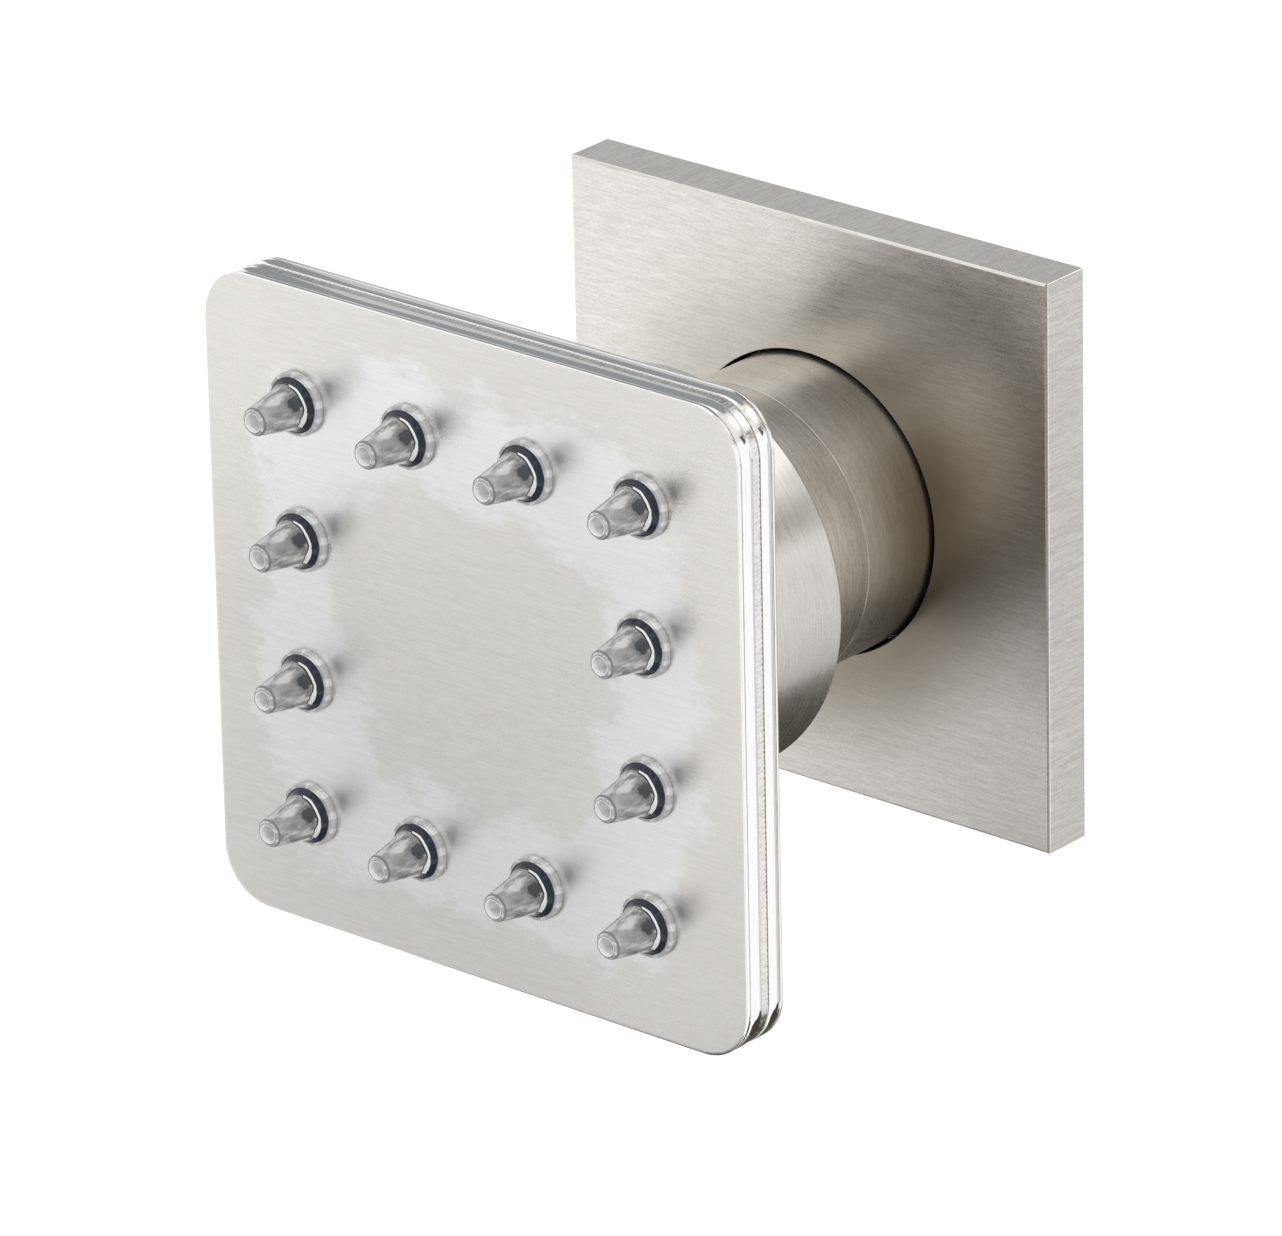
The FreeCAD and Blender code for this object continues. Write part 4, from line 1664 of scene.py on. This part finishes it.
    def front_plate(self) -> Piece:
        """Make the front plate with its screw bosses and nozzle holes.

        Returns:
            The plate.
        """
        piece = self.dish("front_dish", self.face, self.front_rim, self.face_rear)
        screws = self.screw_places()
        boss_front, bore_front = self.face_rear + self.boss_sink, self.face_rear - self.boss_floor
        worked(piece, rods(self.boss_radius, self.back_front, boss_front, screws, 32), Work.JOIN)
        bore = self.screw_radius + self.screw_fit
        worked(piece, rods(bore, BACK_REACH, bore_front, screws, 24), Work.CUT)
        holes = rods(self.nozzle_hole, self.face_rear - SPARE, self.face + SPARE, self.nozzle_places(), 64)
        worked(piece, holes, Work.CUT)
        return piece

    def back_plate(self) -> Piece:
        """Make the back plate with its bore and screw holes.

        Returns:
            The plate.
        """
        piece = self.dish("back_dish", BACK_REACH, self.back_rim, self.back_front)
        hole = self.screw_radius + self.screw_clearance
        for radius, places, steps in ((SPIGOT_BORE, [(0, 0)], 96), (hole, self.screw_places(), 24)):
            worked(piece, rods(radius, BACK_REACH - SPARE, self.back_front + SPARE, places, steps), Work.CUT)
        return piece

    def seam_strip(self) -> Piece:
        """Make the narrow strip between the plates, with fine ribs across it.

        Returns:
            The strip.
        """
        outline = RoundedSquare(self.side - 2 * self.seam_recess, self.corner - self.seam_recess, 16)
        mesh = bmesh.new()
        ring = outline.draw(mesh, self.back_rim)
        straight = [edge for edge in ring if edge.calc_length() > self.corner]
        cuts = int((outline.side - 2 * outline.corner) / self.rib_pitch * 2) - 1
        bmesh.ops.subdivide_edges(mesh, edges=straight, cuts=cuts)
        outline.settle(mesh.verts[:], self.back_rim, 0.0)
        front_ring = outline.stack(mesh, mesh.edges[:], [(self.front_rim, 0.0)])
        around = sorted(mesh.verts, key=lambda vertex: math.atan2(vertex.co.z, vertex.co.x))
        for index, vertex in enumerate(around):
            if index // 2 % 2:
                outline.settle([vertex], -vertex.co.y, self.rib_depth)
        inset = self.skirt - self.seam_recess
        inner = outline.stack(mesh, front_ring, [(self.front_rim, inset), (self.back_rim, inset)])
        rear = [edge for edge in mesh.edges if edge.is_boundary and edge not in inner]
        bmesh.ops.bridge_loops(mesh, edges=rear + inner)
        return finished(mesh, "ribbed_strip")

    def screws(self) -> Piece:
        """Make the four closing screws with round heads and hexagon sockets.

        Returns:
            The screws, as one object.
        """
        head_rear = BACK_REACH - self.screw_head_height
        tip = self.face_rear - self.screw_spare
        corners = [
            Corner(0, head_rear),
            Corner(self.screw_head * 0.55, head_rear, 0.2),
            Corner(self.screw_head, head_rear + self.screw_head_height * 0.7, 0.25),
            Corner(self.screw_head, BACK_REACH, 0.06),
            Corner(self.screw_radius, BACK_REACH),
            Corner(self.screw_radius, tip, 0.2),
            Corner(0, tip),
        ]
        mesh = bmesh.new()
        for x, z in self.screw_places():
            one = spun(corners, 40)
            bmesh.ops.translate(one, verts=one.verts[:], vec=(x, 0, z))
            carrier = bpy.data.meshes.new("one_screw")
            one.to_mesh(carrier)
            one.free()
            mesh.from_mesh(carrier)
            bpy.data.meshes.remove(carrier)
        piece = finished(mesh, "round_screws")
        across = self.screw_socket / 2 / math.cos(math.pi / 6)
        deep = head_rear + self.screw_socket_depth
        worked(piece, rods(across, head_rear - SPARE, deep, self.screw_places(), 6), Work.CUT)
        return piece

    def build(self, finishes: Finishes) -> None:
        """Make and dress the head's pieces.

        Args:
            finishes: The jet's materials.
        """
        front, back = [finishes.face, finishes.edge], [finishes.flange, finishes.edge]
        dressed(self.front_plate(), front, Body.HEAD, "front_plate")
        dressed(self.back_plate(), back, Body.HEAD, "back_plate")
        dressed(self.seam_strip(), [finishes.seam], Body.HEAD, "seam_gasket")
        dressed(self.screws(), [finishes.edge], Body.HEAD, "closing_screws")
        nozzle = SoftNozzle(self.face, self.face_rear)
        for number, (x, z) in enumerate(self.nozzle_places(), 1):
            piece = nozzle.nozzle(f"soft_nozzle_{number:02}", x, z)
            dressed(piece, [finishes.silicone], Body.HEAD, f"nozzle_{number:02}")


def direction(azimuth: float, elevation: float) -> Vector:
    """Give the way from the jet to a place in the room.

    Args:
        azimuth: Degrees from straight out of the wall towards +X.
        elevation: Degrees above the level.

    Returns:
        The way, of length 1.
    """
    turn, rise = math.radians(azimuth), math.radians(elevation)
    return Vector((math.sin(turn) * math.cos(rise), -math.cos(turn) * math.cos(rise), math.sin(rise)))


@dataclass(frozen=True)
class Flag:
    """A card that only metal and glass see, to shade their reflections.

    Attributes:
        name: The object's name.
        azimuth: Direction from the jet, in degrees from straight out of the wall towards +X.
        elevation: Height of that direction in degrees.
        distance: Distance from the jet in metres.
        width: Width in metres.
        height: Height in metres.
        level: Brightness, where 1 is white.
        colour: Tint.
    """

    name: str
    azimuth: float
    elevation: float
    distance: float
    width: float
    height: float
    level: float
    colour: Colour = (1.0, 1.0, 1.0)

    def build(self) -> None:
        """Hang the card so that it faces the jet."""
        way = direction(self.azimuth, self.elevation)
        mesh = bmesh.new()
        bmesh.ops.create_grid(mesh, x_segments=1, y_segments=1, size=0.5)
        size = Matrix.Diagonal((self.width, self.height, 1, 1))
        turn = way.to_track_quat("Z", "Y").to_matrix().to_4x4()
        hung = Matrix.Translation(way * self.distance) @ turn @ size
        bmesh.ops.transform(mesh, matrix=hung, verts=mesh.verts[:])
        card = linked(mesh, self.name)
        material = bpy.data.materials.new(self.name)
        material.use_nodes = True
        wiring = Wiring(material.node_tree)
        wiring.nodes.clear()
        glow = wiring.add("ShaderNodeEmission", {"Color": self.colour, "Strength": self.level})
        wiring.add("ShaderNodeOutputMaterial", {"Surface": glow.outputs[0]})
        card.data.materials.append(material)
        card.visible_camera = False
        card.visible_shadow = False
        card.visible_diffuse = False


@dataclass
class Studio:
    """Floor, world, lamps, cards and camera.

    Attributes:
        azimuth: The camera's direction in degrees from straight out of the wall towards +X.
        elevation: The camera's height in degrees.
        roll: The camera's turn about its own view.
        distance: Distance from the camera to its target in metres.
        target: The point that it looks at, in metres.
        lens: Focal length for the sensor's width.
        sensor: Width of the sensor.
        clip: Nearest and farthest distance that the camera sees, in metres.
        floor_drop: Distance of the floor below the jet's axis in metres.
        floor_side: Width of the floor in metres.
        floor_colour: Colour of the floor.
        floor_roughness: Roughness of the floor.
        floor_lift: Brightness that the camera sees on the floor beside the light that falls on it.
        room_level: Brightness of the room on surfaces, where the camera and metal see 1.
        lamp_place: Place of the lamp in metres.
        lamp_size: Width of the lamp in metres.
        lamp_power: Power of the lamp in watts.
        flags: The cards that shade reflections.
    """

    azimuth: float = 40.422
    elevation: float = 22.803
    roll: float = -1.208
    distance: float = 0.921
    target: tuple[float, float, float] = (-0.002971, -0.025, -0.00528)
    lens: float = 293.67
    sensor: float = 36.0
    clip: tuple[float, float] = (0.01, 20.0)
    floor_drop: float = 0.25
    floor_side: float = 8.0
    floor_colour: Colour = (0.95, 0.95, 0.95)
    floor_roughness: float = 0.9
    floor_lift: float = 0.4
    room_level: float = 0.7
    lamp_place: tuple[float, float, float] = (0.5, -0.6, 0.9)
    lamp_size: float = 0.6
    lamp_power: float = 3.0
    flags: tuple[Flag, ...] = (
        Flag("camera_side_flag", 42, -3, 0.42, 0.60, 0.80, 0.33, (1.0, 0.86, 0.67)),
        Flag("above_front_flag", 12, 44, 0.40, 0.44, 0.36, 0.12, (1.0, 0.87, 0.70)),
        Flag("upper_left_flag", -56, 24, 0.42, 0.16, 0.24, 0.62, (1.0, 0.96, 0.90)),
        Flag("below_front_flag", 8, -60, 0.23, 0.34, 0.20, 0.03, (1.0, 0.87, 0.68)),
        Flag("lower_left_flag", -29, -24, 0.135, 0.05, 0.07, 0.70),
        Flag("upper_back_flag", -150, 35, 0.45, 0.44, 0.50, 0.30, (0.95, 0.98, 1.0)),
        Flag("flange_top_flag", -138, 37, 0.10, 0.09, 0.03, 0.55),
        Flag("corner_frame", 143, 20, 0.41, 0.20, 0.10, 0.14, (1.0, 0.85, 0.65)),
        Flag("corner_window", 152, 39, 0.40, 0.15, 0.12, 1.9),
        Flag("flange_side_flag", 127, -19, 0.106, 0.035, 0.10, 0.67),
        Flag("lower_back_flag", -165, -45, 0.22, 0.38, 0.24, 0.06, (1.0, 0.88, 0.7)),
    )

    def camera(self) -> None:
        """Set up the camera at the photograph's angle."""
        azimuth, roll = math.radians(self.azimuth), math.radians(self.roll)
        back = direction(self.azimuth, self.elevation)
        right = Vector((math.cos(azimuth), math.sin(azimuth), 0))
        up = back.cross(right)
        turned_right = math.cos(roll) * right + math.sin(roll) * up
        turned_up = math.cos(roll) * up - math.sin(roll) * right
        data = bpy.data.cameras.new("camera")
        data.sensor_width = self.sensor
        data.lens = self.lens
        data.clip_start, data.clip_end = self.clip
        camera = bpy.data.objects.new("camera", data)
        turn = Matrix((turned_right, turned_up, back)).transposed().to_4x4()
        camera.matrix_world = Matrix.Translation(Vector(self.target) + back * self.distance) @ turn
        bpy.context.scene.collection.objects.link(camera)
        bpy.context.scene.camera = camera

    def whitened(self, wiring: Wiring) -> None:
        """Make a pale material look white to the camera, to metal and to glass.

        Args:
            wiring: The floor's nodes.
        """
        path = wiring.add("ShaderNodeLightPath").outputs
        lift = wiring.maths("MULTIPLY", path["Is Camera Ray"], self.floor_lift)
        veil = wiring.add("ShaderNodeEmission", {"Strength": lift}).outputs[0]
        paper = wiring.found("BSDF_PRINCIPLED").outputs[0]
        lifted = wiring.add("ShaderNodeAddShader", {0: paper, 1: veil}).outputs[0]
        mirrored = wiring.maths("MAXIMUM", path["Is Glossy Ray"], path["Is Transmission Ray"])
        white = wiring.add("ShaderNodeEmission").outputs[0]
        shown = wiring.add("ShaderNodeMixShader", {0: mirrored, 1: lifted, 2: white}).outputs[0]
        wiring.feed(shown, wiring.found("OUTPUT_MATERIAL").inputs["Surface"])

    def floor(self) -> None:
        """Lay the plain pale floor."""
        mesh = bmesh.new()
        bmesh.ops.create_grid(mesh, x_segments=1, y_segments=1, size=self.floor_side / 2)
        bmesh.ops.translate(mesh, verts=mesh.verts[:], vec=(0, 0, -self.floor_drop))
        floor = linked(mesh, "floor")
        material = bpy.data.materials.new("floor_paper")
        material.use_nodes = True
        wiring = Wiring(material.node_tree)
        shader = wiring.found("BSDF_PRINCIPLED")
        wiring.feed(self.floor_colour, shader.inputs["Base Color"])
        wiring.feed(self.floor_roughness, shader.inputs["Roughness"])
        self.whitened(wiring)
        floor.data.materials.append(material)

    def world(self) -> None:
        """Light the room evenly, and show it white to the camera, to metal and to glass."""
        world = bpy.data.worlds.new("room")
        world.use_nodes = True
        wiring = Wiring(world.node_tree)
        path = wiring.add("ShaderNodeLightPath").outputs
        seen = wiring.maths("ADD", path["Is Camera Ray"], path["Is Glossy Ray"])
        seen = wiring.maths("ADD", seen, path["Is Transmission Ray"])
        feeds = {"Value": seen, "To Min": self.room_level, "To Max": 1.0}
        level = wiring.add("ShaderNodeMapRange", feeds).outputs["Result"]
        background = wiring.found("BACKGROUND")
        wiring.feed((1.0, 1.0, 1.0), background.inputs["Color"])
        wiring.feed(level, background.inputs["Strength"])
        bpy.context.scene.world = world

    def lamp(self) -> None:
        """Hang the soft square lamp so that it faces the jet."""
        data = bpy.data.lights.new("key_lamp", "AREA")
        data.size = self.lamp_size
        data.energy = self.lamp_power
        lamp = bpy.data.objects.new("key_lamp", data)
        lamp.location = self.lamp_place
        lamp.rotation_euler = Vector(self.lamp_place).to_track_quat("Z", "Y").to_euler()
        bpy.context.scene.collection.objects.link(lamp)

    def build(self) -> None:
        """Set up the whole studio."""
        bpy.context.scene.view_settings.view_transform = "Standard"
        self.camera()
        self.floor()
        self.world()
        self.lamp()
        for flag in self.flags:
            flag.build()


def main() -> None:
    """Build the jet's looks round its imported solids."""
    logging.basicConfig(level=logging.INFO, format="%(name)s %(message)s")
    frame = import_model()
    finishes = Finishes()
    Studio().build()
    WallMount().build(finishes, frame["nodes"])
    BallJoint().build(finishes, frame["nodes"])
    SwivelCup().build(finishes)
    SprayHead().build(finishes)


if __name__ == "__main__":
    main()
